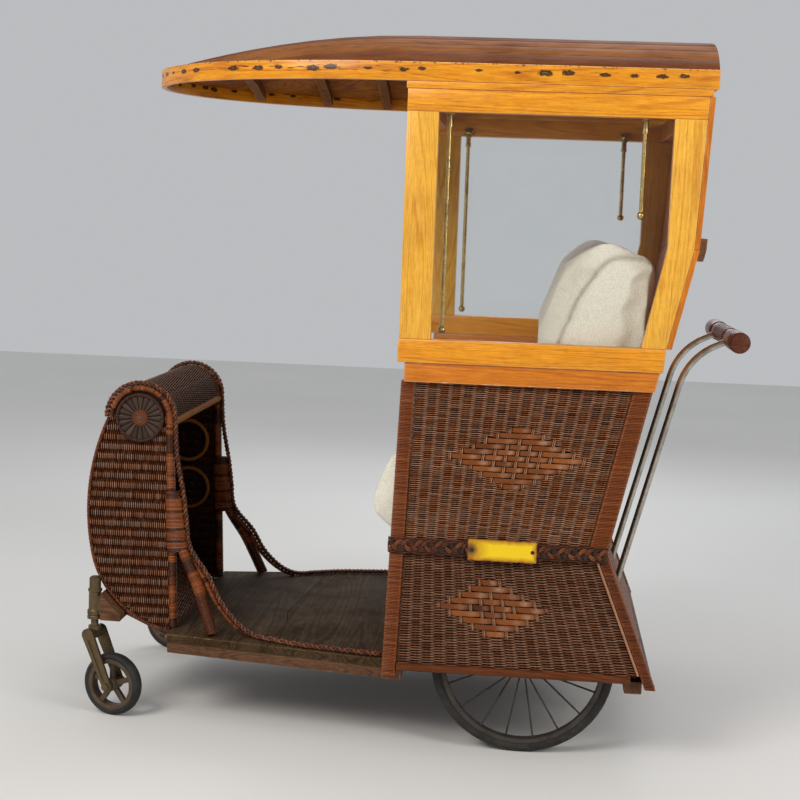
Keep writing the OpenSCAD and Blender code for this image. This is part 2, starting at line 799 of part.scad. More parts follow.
module caster_tyre() {
    translate([trail, 0, caster_r]) rotate([90, 0, 0]) rotate_extrude() polygon([
        [caster_r - 13.9, -13],
        [caster_r - 8, -15],
        [caster_r - 2, -11],
        [caster_r, -5],
        [caster_r, 5],
        [caster_r - 2, 11],
        [caster_r - 8, 15],
        [caster_r - 13.9, 13]
    ]);
}
module caster_fork_left() {
    color("darkkhaki") caster_place(-1) fork();
}
module caster_fork_right() {
    color("darkkhaki") caster_place(1) fork();
}
module caster_wheel_left() {
    color("darkkhaki") caster_place(-1) caster_wheel();
}
module caster_wheel_right() {
    color("darkkhaki") caster_place(1) caster_wheel();
}
module caster_tyre_left() {
    color("dimgray") caster_place(-1) caster_tyre();
}
module caster_tyre_right() {
    color("dimgray") caster_place(1) caster_tyre();
}

hub_w = 84;
module rear_axle() {
    color("gray") translate([axle_x, 0, wheel_r]) rotate([90, 0, 0]) {
        cylinder(h = 2 * (wheel_y + hub_w / 2 + 6), r = axle_r, center = true);
        for (s = [-1, 1]) translate([0, 0, s * (wheel_y + hub_w / 2 + 11)])
            cylinder(h = 12, r = axle_r + 6, center = true);
        for (s = [-1, 1]) translate([0, 0, s * (wheel_y - hub_w / 2 - 11)])
            cylinder(h = 12, r = axle_r + 7, center = true);
    }
}

module axle_blocks() {
    color("gray") both() difference() {
        translate([axle_x - 30, rod_y - rail_w / 2, rail_z])
            cube([60, rail_w, wheel_r + axle_r + 10 - rail_z]);
        translate([axle_x, rod_y, wheel_r]) rotate([90, 0, 0])
            cylinder(h = rail_w + 2, r = axle_r + 0.2, center = true);
    }
}

module rear_wheel(side) {
    rim_in = wheel_r - 32;
    flange = 24;
    translate([axle_x, side * wheel_y, wheel_r]) rotate([90, 0, 0]) difference() {
        union() {
            difference() {
                cylinder(h = 24, r = wheel_r - 22, center = true);
                cylinder(h = 26, r = rim_in, center = true);
            }
            cylinder(h = hub_w, r = axle_r + 5, center = true);
            for (s = [-1, 1]) translate([0, 0, s * 28]) cylinder(h = 6, r = flange, center = true);
            for (i = [0:spoke_n - 1]) rotate([0, 0, 360 * i / spoke_n]) wire(i % 2 * 2 - 1, rim_in);
        }
        cylinder(h = hub_w + 2, r = axle_r + play, center = true);
    }
}
// Wire spoke from a hub flange to the middle of the rim
module wire(s, rim_in) {
    a = [20, 0, s * 28];
    b = [rim_in + 4, 0, 0];
    translate(a) rotate([0, 90 + atan2(s * 28, b[0] - a[0]), 0]) cylinder(h = norm(b - a), r = spoke_r);
}
module rear_tyre(side) {
    translate([axle_x, side * wheel_y, wheel_r]) rotate([90, 0, 0]) rotate_extrude()
        difference() {
            translate([wheel_r - 13, 0]) circle(13);
            translate([wheel_r - 40, -20]) square([18.1, 40]);
        }
}
module rear_wheel_left() {
    color("silver") rear_wheel(-1);
}
module rear_wheel_right() {
    color("silver") rear_wheel(1);
}
module rear_tyre_left() {
    color("dimgray") rear_tyre(-1);
}
module rear_tyre_right() {
    color("dimgray") rear_tyre(1);
}

// Straight lower part of a push rod
module rod_line(r) {
    translate([rod_foot_x, rod_y, rail_z]) rotate([0, rod_slope, 0])
        cylinder(h = (rod_bend_z - rail_z) / cos(rod_slope), r = r);
}
// Line of a push rod: a start below the rail, the bend and the end in the grip
rod_turn = [bend_x + rod_bend_r * cos(rod_slope), rod_bend_z - rod_bend_r * sin(rod_slope)];
rod_path = concat(
    [[rod_foot_x - 6 * sin(rod_slope), rod_y, rail_z - 6 * cos(rod_slope)]],
    [for (i = [0:10]) let (t = rod_slope + (90 - rod_end - rod_slope) * i / 10)
        [rod_turn[0] - rod_bend_r * cos(t), rod_y, rod_turn[1] + rod_bend_r * sin(t)]],
    [[bend_end[0] + 40, rod_y, bend_end[1] + 40 * tan(rod_end)]]
);
module push_rods() {
    color("silver") both() difference() {
        tube(rod_path, [for (p = rod_path) rod_r], 20);
        translate([rod_foot_x - 40, rod_y - 40, rail_z - 40]) cube([80, 80, 40]);
    }
}

module push_handle() {
    color("sienna") difference() {
        translate([grip_x, 0, grip_z]) rotate([90, 0, 0]) {
            cylinder(h = grip_len - 8, r = grip_r - 3, center = true);
            for (s = [-1, 1]) translate([0, 0, s * (grip_len / 2 - 60)])
                cylinder(h = 112, r = grip_r, center = true);
            for (y = [-90:20:90]) translate([0, 0, y]) cylinder(h = 12, r = grip_r - 1, center = true);
            for (s = [-1, 1]) translate([0, 0, s * (grip_len / 2 - 2)])
                cylinder(h = 4, r = grip_r - 4, center = true);
        }
        both() translate([bend_end[0], rod_y, bend_end[1]]) rotate([0, 90 - rod_end, 0])
            cylinder(h = 44.5, r = rod_r + 0.2);
    }
}

// Sheet of the dash between two depths and two points of its curve
module dash_sheet(out, inset, i0, i1) {
    polygon(concat(
        [for (i = [i0:i1]) dash_curve(out)[i]],
        [for (i = [i1:-1:i0]) dash_curve(inset)[i]]
    ));
}
module dash_front() {
    step = 2 * dash_y / dash_stakes;
    color("sienna") {
        across(-dash_y - 6, dash_y + 6) dash_sheet(relief - 0.5, weave_t, 0, 18);
        for (k = [0:dash_stakes - 1]) let (y = -dash_y + (k + 0.5) * step)
            across(y - stake_w / 2, y + stake_w / 2) dash_sheet(0, weave_t - 1, 0, 18);
    }
}

// Line of the dash's rear posts at a height
function dash_post_x(z) = post_foot_x + (roll_x + roll_r - post_foot_x) * (z - foot_z) / (roll_z - foot_z);

module dash_sides() {
    inner = dash_curve(weave_t + 0.3);
    arch = [for (t = [15:15:180]) [roll_x, roll_z] + (roll_r - rim_r - 0.3) * [cos(t), sin(t)]];
    color("sienna") both() across(dash_y - 6, dash_y + 6) polygon(concat(
        inner,
        [[dash_post_x(foot_z) - rim_r - 0.6, inner[len(inner) - 1][1]]],
        [[dash_post_x(roll_z) - rim_r - 0.6, roll_z]],
        arch
    ));
}

module dash_roll() {
    y = dash_y - rim_r - 0.3;
    color("sienna") translate([roll_x, y, roll_z]) rotate([90, 0, 0]) linear_extrude(2 * y)
        intersection() {
            difference() {
                circle(roll_r + rim_r - 2);
                circle(roll_r - 2);
            }
            translate([-100, 0]) square([200, 100]);
        }
}

// Rounded points of the roll's rim, and of a line outside it
function rim_arc(r) = [for (t = [0:15:180]) [roll_x + r * cos(t), dash_y, roll_z + r * sin(t)]];
rim_path = concat(
    [[post_foot_x, dash_y, foot_z + 0.4], [dash_post_x(roll_z - 60), dash_y, roll_z - 60]],
    rim_arc(roll_r)
);
module dash_rims() {
    color("saddlebrown") both() tube(rim_path, [for (p = rim_path) rim_r], 16);
}

module dash_rosettes() {
    color("sienna") both() translate([roll_x, dash_y + 6, roll_z]) rotate([-90, 0, 0]) {
        cylinder(h = 4, r = rosette_r - 3);
        translate([0, 0, 1]) linear_extrude(8) {
            difference() {
                circle(rosette_r);
                circle(rosette_r - 6);
            }
            circle(11);
            for (a = [9:18:351]) rotate(a) translate([8, -2]) square([rosette_r - 11, 4]);
        }
    }
}

module dash_rail() {
    color("peru") translate([dash_post_x(roll_z) + 3, dash_y - rim_r - 0.8, roll_z - 10.3])
        rotate([90, 0, 0]) cylinder(h = 2 * (dash_y - rim_r - 0.8), r = 10);
}

// Wrapped brace from a dash post to its foot: height above the platform, place and radius
brace = [
    [330, dash_post_x(foot_z + 330) + rim_r + 6.6, 0, 6],
    [270, dash_post_x(foot_z + 270) + rim_r + 9.8, 0, 9],
    [200, dash_post_x(foot_z + 200) + rim_r + 14, 0, 13],
    [118, post_foot_x + 62, 28, 13],
    [60, post_foot_x + 87, 48, 13],
    [5.8, post_foot_x + 110, 62, 13]
];
module dash_braces() {
    color("saddlebrown") both() tube(
        [for (b = brace) [b[1], dash_y + b[2], foot_z + b[0]]],
        [for (b = brace) b[3]], 14
    );
}

// Braid over the roll, down behind the post and brace and along the platform's edge
braid_r = 6.5;
braid_out = rim_r + braid_r + 0.5;
// Sweep of the braid: distance behind the post, height above the platform and place inside its edge
sweep = [[86, 136, 68], [116, 82, 66], [148, 44, 62], [180, 19, 56], [214, 7, 46]];
braid_path = concat(
    [for (i = [12:-1:0]) rim_arc(roll_r + braid_out)[i]],
    [[dash_post_x(roll_z - 86) + braid_out, dash_y, roll_z - 86]],
    [for (b = [brace[0], brace[1], brace[2]]) [b[1] + b[3] + braid_r + 1.5, dash_y, foot_z + b[0]]],
    [for (p = sweep) let (x = post_foot_x + p[0]) [x, foot_half(x) - p[2], foot_z + p[1]]],
    [for (e = [[0.5, 30], [0.35, 14], [0.01, 14]]) let (x = foot_x - foot_len * e[0])
        [x, foot_half(x) - e[1], foot_z + 7]]
);
module dash_braids() {
    color("peru") both() tube(braid_path, [for (p = braid_path) braid_r], 8);
}

// Rattan hoops inside the dash: drop below the roll as a share of the dash's height
module dash_hoops() {
    r = 0.2 * (dash_y - rim_r);
    color("peru") both() for (k = [0.254, 0.512]) {
        z = roll_z - k * (roll_z - foot_z);
        translate([dash_post_x(z) - r - 28, dash_y - 12, z]) rotate([90, 0, 0]) rotate_extrude()
            translate([r, 0]) circle(rim_r / 2);
    }
}

corner_posts();
side_panels();
side_skirts();
back_panel();
back_skirt();
front_apron();
bottom_rails();
belt_braids();
name_plate();
seat_deck();
seat_cushion();
back_cushion();
ledges();
sill_rails();
window_stiles();
top_rails();
cross_heads();
cornices();
side_glass();
rear_boards();
rear_batten();
roof_fascia();
roof_deck();
roof_bows();
roof_end();
shade_rods();
foot_board_front();
foot_board_rear();
platform_frame();
chassis_rails();
cross_sills();
front_bolster();
caster_sockets();
caster_fork_left();
caster_fork_right();
caster_wheel_left();
caster_wheel_right();
caster_tyre_left();
caster_tyre_right();
rear_axle();
axle_blocks();
rear_wheel_left();
rear_wheel_right();
rear_tyre_left();
rear_tyre_right();
push_rods();
push_handle();
dash_front();
dash_sides();
dash_roll();
dash_rims();
dash_rosettes();
dash_rail();
dash_braces();
dash_braids();
dash_hoops();
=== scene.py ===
import bpy, bmesh, math
import numpy as np
from mathutils import Matrix, Vector


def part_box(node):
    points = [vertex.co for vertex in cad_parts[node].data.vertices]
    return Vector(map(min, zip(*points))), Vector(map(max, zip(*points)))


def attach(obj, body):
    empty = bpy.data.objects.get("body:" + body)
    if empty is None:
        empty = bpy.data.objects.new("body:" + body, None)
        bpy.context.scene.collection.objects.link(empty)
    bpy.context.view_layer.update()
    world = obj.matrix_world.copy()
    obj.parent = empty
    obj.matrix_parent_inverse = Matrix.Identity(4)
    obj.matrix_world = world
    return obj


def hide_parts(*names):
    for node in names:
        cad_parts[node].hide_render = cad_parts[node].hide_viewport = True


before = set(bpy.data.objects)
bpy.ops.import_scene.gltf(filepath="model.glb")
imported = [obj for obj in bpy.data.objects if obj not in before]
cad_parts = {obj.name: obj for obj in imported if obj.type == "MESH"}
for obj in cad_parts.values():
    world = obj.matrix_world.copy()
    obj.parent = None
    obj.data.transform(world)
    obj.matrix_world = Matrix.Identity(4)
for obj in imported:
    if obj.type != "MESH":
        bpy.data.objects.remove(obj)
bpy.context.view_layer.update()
scene = bpy.context.scene
dice = np.random.default_rng(11)
mm = 0.001
print("frame loaded:", len(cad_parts), "nodes")

# camera at the photographed angle, for a square picture
cameraView = {"focal": 1583.9, "vanish": (140.5, -174.7), "slope": 0.0462, "place": (0.284, -4.005, 1.221)}


def makeCamera(view):
    inY = Vector((view["vanish"][0], view["vanish"][1], view["focal"])).normalized()
    inX = Vector((1, view["slope"], 0))
    inX.z = -inX.dot(inY) / inY.z
    inX.normalize()
    inZ = inX.cross(inY)
    right, down, ahead = (Vector((inX[i], inY[i], inZ[i])) for i in range(3))
    turn = Matrix((right, -down, -ahead)).transposed()
    lens = bpy.data.cameras.new("photoCamera")
    lens.sensor_fit = "HORIZONTAL"
    lens.sensor_width = 36
    lens.lens = view["focal"] / 800 * 36
    eye = bpy.data.objects.new("photoCamera", lens)
    eye.matrix_world = Matrix.Translation(view["place"]) @ turn.to_4x4()
    scene.collection.objects.link(eye)
    scene.camera = eye


makeCamera(cameraView)


# lines of the body, in millimetres
def frontX(z):
    return -12 + math.tan(math.radians(1.8)) * (z - 863)


def rearX(z):
    z = np.asarray(z, float)
    up = 620 + 16 * (z - 1180) / 329
    mid = 468 + math.tan(math.radians(12.46)) * (z - 492)
    low = 468 + math.tan(math.radians(22.1)) * (492 - z)
    return np.where(z > 1180, up, np.where(z > 492, mid, low))


# shader helpers
def feed(tree, socket, value):
    if isinstance(value, bpy.types.NodeSocket):
        tree.links.new(value, socket)
    else:
        socket.default_value = value


def add(tree, kind, links=None, **settings):
    node = tree.nodes.new("ShaderNode" + kind)
    for key, value in settings.items():
        setattr(node, key, value)
    for key, value in (links or {}).items():
        feed(tree, node.inputs[key], value)
    return node


def ramp(tree, fac, stops):
    node = add(tree, "ValToRGB", {"Fac": fac})
    marks = node.color_ramp.elements
    while len(marks) < len(stops):
        marks.new(0.5)
    for mark, (place, colour) in zip(marks, stops):
        mark.position = place
        mark.color = (*colour, 1) if len(colour) == 3 else colour
    return node.outputs["Color"]


def span(tree, value, low, high, toLow=0.0, toHigh=1.0):
    return add(tree, "MapRange", {
        "Value": value, "From Min": low, "From Max": high, "To Min": toLow, "To Max": toHigh}).outputs["Result"]


def math2(tree, kind, a, b=0.0, clamp=False):
    return add(tree, "Math", {0: a, 1: b}, operation=kind, use_clamp=clamp).outputs[0]


def times(tree, a, b):
    return math2(tree, "MULTIPLY", a, b)


def plus(tree, a, b):
    return math2(tree, "ADD", a, b)


def minus(tree, a, b, clamp=False):
    return math2(tree, "SUBTRACT", a, b, clamp)


def blendColour(tree, kind, fac, a, b):
    node = add(tree, "Mix", {0: fac}, data_type="RGBA", blend_type=kind)
    for key, value in ((6, a), (7, b)):
        feed(tree, node.inputs[key], (*value, 1) if isinstance(value, tuple) else value)
    return node.outputs[2]


def newGroup(name, ins, outs):
    tree = bpy.data.node_groups.new(name, "ShaderNodeTree")
    for label, kind, value in ins:
        socket = tree.interface.new_socket(label, in_out="INPUT", socket_type="NodeSocket" + kind)
        if value is not None:
            socket.default_value = value
    for label, kind in outs:
        tree.interface.new_socket(label, in_out="OUTPUT", socket_type="NodeSocket" + kind)
    return tree, tree.nodes.new("NodeGroupInput"), tree.nodes.new("NodeGroupOutput")


def useGroup(tree, group, links):
    node = tree.nodes.new("ShaderNodeGroup")
    node.node_tree = group
    for key, value in links.items():
        feed(tree, node.inputs[key], value)
    return node


def makeGrainGroup():
    # growth rings, pores and slow shade changes on coordinates stretched along the board
    tree, gin, gout = newGroup(
        "woodGrain",
        [("Vector", "Vector", None), ("Seed", "Float", 0.0), ("Rings", "Float", 16.0)],
        [("Grain", "Float"), ("Pores", "Float"), ("Patch", "Float")])
    shift = add(tree, "CombineXYZ", {"X": times(tree, gin.outputs["Seed"], 7.3),
                                     "Y": times(tree, gin.outputs["Seed"], 31.7),
                                     "Z": times(tree, gin.outputs["Seed"], 17.1)}).outputs[0]
    place = add(tree, "VectorMath", {0: gin.outputs["Vector"], 1: shift}, operation="ADD").outputs[0]
    slow = add(tree, "TexNoise", {"Vector": place, "Scale": 0.3, "Detail": 1.5, "Distortion": 0.3}).outputs["Fac"]
    turn = times(tree, times(tree, slow, gin.outputs["Rings"]), 6.283)
    wave = span(tree, math2(tree, "SINE", turn), -1, 1)
    lines = math2(tree, "POWER", wave, 6.0)
    fine = add(tree, "TexNoise", {"Vector": place, "Scale": 10.0, "Detail": 6.0, "Roughness": 0.7}).outputs["Fac"]
    pores = add(tree, "TexNoise", {"Vector": place, "Scale": 26.0, "Detail": 2.0}).outputs["Fac"]
    patch = add(tree, "TexNoise", {"Vector": place, "Scale": 0.12, "Detail": 2.0}).outputs["Fac"]
    grain = plus(tree, times(tree, wave, 0.14), times(tree, fine, 0.72))
    grain = minus(tree, grain, times(tree, lines, 0.22))
    tree.links.new(grain, gout.inputs["Grain"])
    tree.links.new(span(tree, pores, 0.6, 0.7), gout.inputs["Pores"])
    tree.links.new(span(tree, patch, 0.35, 0.65), gout.inputs["Patch"])
    return tree


def makeSpotGroup():
    # uneven dark spots in cells, for nail stains, knots and chips
    tree, gin, gout = newGroup(
        "spots",
        [("Vector", "Vector", None), ("Size", "Float", 0.2), ("Share", "Float", 0.6)],
        [("Mask", "Float")])
    wobble = add(tree, "TexNoise", {"Vector": gin.outputs["Vector"], "Scale": 5.0, "Detail": 3.0})
    bent = add(tree, "VectorMath", {0: wobble.outputs["Color"], 1: (0.5, 0.5, 0.5)}, operation="SUBTRACT").outputs[0]
    bent = add(tree, "VectorMath", {0: bent, "Scale": 0.3}, operation="SCALE").outputs[0]
    place = add(tree, "VectorMath", {0: gin.outputs["Vector"], 1: bent}, operation="ADD").outputs[0]
    cells = add(tree, "TexVoronoi", {"Vector": place, "Scale": 1.0, "Randomness": 0.8})
    size = times(tree, gin.outputs["Size"], add(tree, "SeparateColor", {0: cells.outputs["Color"]}).outputs[0])
    near = minus(tree, size, cells.outputs["Distance"])
    keep = math2(tree, "LESS_THAN", add(tree, "SeparateColor", {0: cells.outputs["Color"]}).outputs[1], gin.outputs["Share"])
    tree.links.new(times(tree, span(tree, near, 0.0, 0.07), keep), gout.inputs["Mask"])
    return tree


# row of nails along the edge board, in metres
nailRow = {"pitch": 0.062, "low": 1.548, "high": 1.5515, "middle": 1.5495, "long": 0.0145, "thick": 0.006}


def makeNailGroup():
    # row of oval nail stains along an edge board, with streaks between them and chips on the upper edge
    tree, gin, gout = newGroup("nailMarks", [("Vector", "Vector", None)], [("Mask", "Float"), ("Core", "Float")])
    parts = add(tree, "SeparateXYZ", {0: gin.outputs["Vector"]})
    run, high = parts.outputs["X"], parts.outputs["Y"]
    wobble = add(tree, "TexNoise", {"Vector": gin.outputs["Vector"], "Scale": 130.0, "Detail": 3.0}).outputs["Fac"]
    steps = math2(tree, "DIVIDE", run, nailRow["pitch"])
    cell = math2(tree, "FLOOR", steps)
    luck = add(tree, "SeparateColor", {0: add(tree, "TexWhiteNoise", {"W": cell}, noise_dimensions="1D").outputs["Color"]})
    size = span(tree, luck.outputs[1], 0, 1, 0.55, 1.25)
    aside = minus(tree, minus(tree, minus(tree, steps, cell), 0.5),
                  span(tree, luck.outputs[0], 0, 1, -0.25, 0.25))
    above = minus(tree, high, span(tree, luck.outputs[0], 0, 1, nailRow["low"], nailRow["high"]))
    dx = math2(tree, "DIVIDE", times(tree, aside, nailRow["pitch"]), times(tree, size, nailRow["long"]))
    dz = math2(tree, "DIVIDE", above, times(tree, size, nailRow["thick"]))
    far = math2(tree, "SQRT", plus(tree, times(tree, dx, dx), times(tree, dz, dz)))
    far = plus(tree, far, span(tree, wobble, 0, 1, -0.7, 0.7))
    keep = math2(tree, "GREATER_THAN", luck.outputs[2], 0.16)
    nail = times(tree, span(tree, far, 1.1, 0.75), keep)
    thin = add(tree, "Mapping", {"Vector": gin.outputs["Vector"], "Scale": (26.0, 190.0, 1.0)}).outputs[0]
    streak = span(tree, add(tree, "TexNoise", {"Vector": thin, "Scale": 1.0, "Detail": 3.0}).outputs["Fac"], 0.56, 0.62)
    band = span(tree, math2(tree, "ABSOLUTE", minus(tree, high, nailRow["middle"])), 0.0085, 0.004)
    some = span(tree, add(tree, "TexNoise", {"Vector": gin.outputs["Vector"], "Scale": 2.3}).outputs["Fac"], 0.46, 0.55)
    streak = times(tree, times(tree, streak, band), some)
    chip = times(tree, span(tree, high, 1.5605, 1.5635), span(tree, wobble, 0.56, 0.64))
    tree.links.new(math2(tree, "MAXIMUM", math2(tree, "MAXIMUM", nail, streak), chip), gout.inputs["Mask"])
    tree.links.new(times(tree, span(tree, far, 0.22, 0.08), keep), gout.inputs["Core"])
    return tree


def makeDirtGroup():
    # cloudy dirt and rubbed places
    tree, gin, gout = newGroup(
        "dirt", [("Vector", "Vector", None), ("Scale", "Float", 9.0)], [("Dirt", "Float"), ("Rub", "Float"), ("Fine", "Float")])
    a = add(tree, "TexNoise", {"Vector": gin.outputs["Vector"], "Scale": gin.outputs["Scale"],
                               "Detail": 6.0, "Roughness": 0.65})
    b = add(tree, "TexNoise", {"Vector": gin.outputs["Vector"], "Scale": times(tree, gin.outputs["Scale"], 3.7),
                               "Detail": 5.0, "Roughness": 0.7})
    c = add(tree, "TexNoise", {"Vector": gin.outputs["Vector"], "Scale": times(tree, gin.outputs["Scale"], 40.0),
                               "Detail": 2.0})
    tree.links.new(span(tree, a.outputs["Fac"], 0.45, 0.7), gout.inputs["Dirt"])
    tree.links.new(span(tree, b.outputs["Fac"], 0.55, 0.7), gout.inputs["Rub"])
    tree.links.new(c.outputs["Fac"], gout.inputs["Fine"])
    return tree


grainGroup = makeGrainGroup()
spotGroup = makeSpotGroup()
dirtGroup = makeDirtGroup()
nailGroup = makeNailGroup()


def newMaterial(name, **plain):
    mat = bpy.data.materials.new(name)
    mat.use_nodes = True
    tree = mat.node_tree
    shader = tree.nodes["Principled BSDF"]
    for key, value in plain.items():
        shader.inputs[key.replace("_", " ")].default_value = value
    return mat, tree, shader


def setBump(tree, shader, height, strength, distance):
    bump = add(tree, "Bump", {"Height": height, "Strength": strength, "Distance": distance})
    tree.links.new(bump.outputs["Normal"], shader.inputs["Normal"])


def attr(tree, name):
    return add(tree, "Attribute", attribute_name=name).outputs["Fac"]


def coordsFor(tree, useUv):
    kit = add(tree, "TexCoord")
    return kit.outputs["UV" if useUv else "Object"]


def woodFinish(name, stretch, dark, mid, light, gloss=0.32, rings=16.0, coat=0.15, wearAndSheen=(0.8, 0.55, 0.25), useUv=False,
               stains=None, grime=0.35, nails=False, shine=0.25, vary=0.35):
    mat, tree, shader = newMaterial(name, Coat_Roughness=0.16, Coat_Weight=coat, Specular_IOR_Level=shine)
    seed = attr(tree, "tone")
    at = coordsFor(tree, useUv)
    long = add(tree, "Mapping", {"Vector": at, "Scale": stretch}).outputs[0]
    grain = useGroup(tree, grainGroup, {"Vector": long, "Seed": seed, "Rings": rings})
    colour = ramp(tree, grain.outputs["Grain"], [(0.18, dark), (0.4, mid), (0.58, light)])
    colour = blendColour(tree, "MULTIPLY", span(tree, grain.outputs["Patch"], 0, 1, 0.0, 0.3), colour, (0.8, 0.68, 0.55))
    colour = blendColour(tree, "MULTIPLY", times(tree, grain.outputs["Pores"], 0.5), colour, (0.5, 0.36, 0.26))
    boardTint = (0.84, 0.74, 0.66) if vary < 0.5 else (0.58, 0.46, 0.38)
    colour = blendColour(tree, "MULTIPLY", span(tree, seed, 0, 1, 0.0, vary), colour, boardTint)
    dirt = useGroup(tree, dirtGroup, {"Vector": at, "Scale": 7.0})
    colour = blendColour(tree, "MULTIPLY", times(tree, dirt.outputs["Dirt"], grime), colour, (0.45, 0.33, 0.26))
    if stains:
        spotAt = add(tree, "Mapping", {"Vector": at, "Scale": stains["scale"], "Location": stains["shift"]}).outputs[0]
        spots = useGroup(tree, spotGroup, {"Vector": spotAt, "Size": stains["size"], "Share": stains["share"]})
        colour = blendColour(tree, "MIX", times(tree, spots.outputs["Mask"], 0.93), colour, (0.02, 0.009, 0.005))
    if nails:
        marks = useGroup(tree, nailGroup, {"Vector": at})
        colour = blendColour(tree, "MIX", times(tree, marks.outputs["Mask"], 0.94), colour, (0.022, 0.009, 0.004))
        colour = blendColour(tree, "MIX", times(tree, marks.outputs["Core"], 0.8), colour, (0.15, 0.1, 0.06))
    edge = times(tree, attr(tree, "edge"), span(tree, dirt.outputs["Rub"], 0.0, 1.0, 0.12, 0.7))
    colour = blendColour(tree, "MIX", edge, colour, wearAndSheen)
    tree.links.new(colour, shader.inputs["Base Color"])
    rough = plus(tree, gloss, times(tree, grain.outputs["Grain"], 0.16))
    tree.links.new(plus(tree, rough, times(tree, dirt.outputs["Dirt"], 0.12)), shader.inputs["Roughness"])
    setBump(tree, shader, grain.outputs["Grain"], 0.16, 0.0005)
    return mat


def wickerFinish(name, stops, wearAndSheenColour, gloss=0.42, patchScale=5.0, coat=0.0, rub=0.5, shine=0.2):
    mat, tree, shader = newMaterial(name, Coat_Weight=coat, Coat_Roughness=0.25, Specular_IOR_Level=shine)
    at = coordsFor(tree, False)
    tone = attr(tree, "tone")
    dirt = useGroup(tree, dirtGroup, {"Vector": at, "Scale": patchScale})
    mixed = plus(tree, times(tree, tone, 0.85), times(tree, dirt.outputs["Fine"], 0.15))
    colour = ramp(tree, mixed, stops)
    colour = blendColour(tree, "MULTIPLY", times(tree, dirt.outputs["Dirt"], 0.3), colour, (0.6, 0.52, 0.48))
    # rubbed wear on pale reeds, and the painted highlight that the flat strips carry in an attribute
    wearAndSheenMask = times(tree, dirt.outputs["Rub"], span(tree, tone, 0.45, 0.95, 0.0, rub))
    wearAndSheenMask = math2(tree, "MAXIMUM", wearAndSheenMask, times(tree, attr(tree, "wearAndSheen"), span(tree, dirt.outputs["Fine"], 0.3, 0.7, 0.6, 1.2)))
    colour = blendColour(tree, "MIX", wearAndSheenMask, colour, wearAndSheenColour)
    tree.links.new(colour, shader.inputs["Base Color"])
    tree.links.new(span(tree, dirt.outputs["Fine"], 0.3, 0.7, gloss - 0.1, gloss + 0.14), shader.inputs["Roughness"])
    setBump(tree, shader, dirt.outputs["Fine"], 0.25, 0.0003)
    return mat


def metalFinish(name, bright, dull, rough, rust=None, rustShare=0.3, scale=22.0, metallic=1.0):
    mat, tree, shader = newMaterial(name)
    at = coordsFor(tree, False)
    dirt = useGroup(tree, dirtGroup, {"Vector": at, "Scale": scale})
    colour = blendColour(tree, "MIX", dirt.outputs["Dirt"], bright, dull)
    rubbed = times(tree, attr(tree, "edge"), span(tree, dirt.outputs["Rub"], 0.0, 1.0, 0.3, 0.8))
    colour = blendColour(tree, "MIX", rubbed, colour, tuple(min(1.0, 1.7 * c) for c in bright))
    hard = plus(tree, rough, times(tree, dirt.outputs["Dirt"], 0.22))
    if rust:
        spot = times(tree, dirt.outputs["Rub"], rustShare)
        colour = blendColour(tree, "MIX", spot, colour, rust)
        hard = plus(tree, hard, times(tree, spot, 0.3))
        shine = minus(tree, metallic, times(tree, spot, 0.8), True)
        tree.links.new(shine, shader.inputs["Metallic"])
    else:
        shader.inputs["Metallic"].default_value = metallic
    tree.links.new(colour, shader.inputs["Base Color"])
    tree.links.new(hard, shader.inputs["Roughness"])
    setBump(tree, shader, dirt.outputs["Fine"], 0.15, 0.0004)
    return mat


alongX, alongY, alongZ = (2.0, 36.0, 36.0), (36.0, 2.0, 36.0), (36.0, 36.0, 2.0)
honey = {"dark": (0.66, 0.28, 0.018), "mid": (0.9, 0.48, 0.05), "light": (0.96, 0.62, 0.11)}
orange = {"dark": (0.52, 0.145, 0.005), "mid": (0.83, 0.33, 0.011), "light": (0.93, 0.46, 0.028)}
amber = {"dark": (0.4, 0.1, 0.005), "mid": (0.64, 0.195, 0.009), "light": (0.76, 0.29, 0.022)}
umber = {"dark": (0.05, 0.018, 0.007), "mid": (0.13, 0.05, 0.018), "light": (0.21, 0.09, 0.035)}
weathered = {"dark": (0.022, 0.013, 0.006), "mid": (0.062, 0.038, 0.019), "light": (0.135, 0.09, 0.05)}
orangeX = woodFinish("orangeWoodLengthwise", alongX, **orange)
orangeY = woodFinish("orangeWoodCrosswise", alongY, **orange)
honeyZ = woodFinish("honeyWoodUpright", alongZ, **honey)
amberX = woodFinish("amberWoodLengthwise", alongX, **amber, wearAndSheen=(0.86, 0.7, 0.48))
amberY = woodFinish("amberWoodCrosswise", alongY, **amber)
amberZ = woodFinish("amberWoodUpright", alongZ, **amber)
roofWood = woodFinish("roofBoardWood", alongX, dark=(0.13, 0.036, 0.005), mid=(0.34, 0.11, 0.012), light=(0.5, 0.19, 0.026),
                      gloss=0.58, coat=0.0, grime=0.6, shine=0.12, wearAndSheen=(0.05, 0.016, 0.004), vary=1.0)
bowWood = woodFinish("bowWood", alongY, dark=(0.1, 0.034, 0.007), mid=(0.2, 0.074, 0.016), light=(0.29, 0.12, 0.028),
                     gloss=0.6, coat=0.0, shine=0.08)
fasciaWood = woodFinish("edgeBoardWood", (2.0, 36.0, 36.0), **orange, useUv=True, gloss=0.24, grime=0.4, nails=True)
umberX = woodFinish("umberWoodLengthwise", alongX, **umber, gloss=0.5, coat=0.1, wearAndSheen=(0.3, 0.17, 0.09))
umberY = woodFinish("umberWoodCrosswise", alongY, **umber, gloss=0.5, coat=0.1, wearAndSheen=(0.3, 0.17, 0.09))
deckWood = woodFinish("footBoardWood", alongY, **weathered, gloss=0.6, coat=0.0, wearAndSheen=(0.3, 0.19, 0.08), grime=0.8,
                      rings=9.0, shine=0.06,
                      stains={"scale": (7.0, 5.0, 3.0), "shift": (0.2, 0.4, 0.1), "size": 0.16, "share": 0.35})
frameWood = woodFinish("platformFrameWood", alongX, dark=(0.05, 0.021, 0.01), mid=(0.12, 0.056, 0.026),
                       light=(0.19, 0.1, 0.05), gloss=0.6, coat=0.0, wearAndSheen=(0.3, 0.19, 0.1), grime=0.7, shine=0.2)
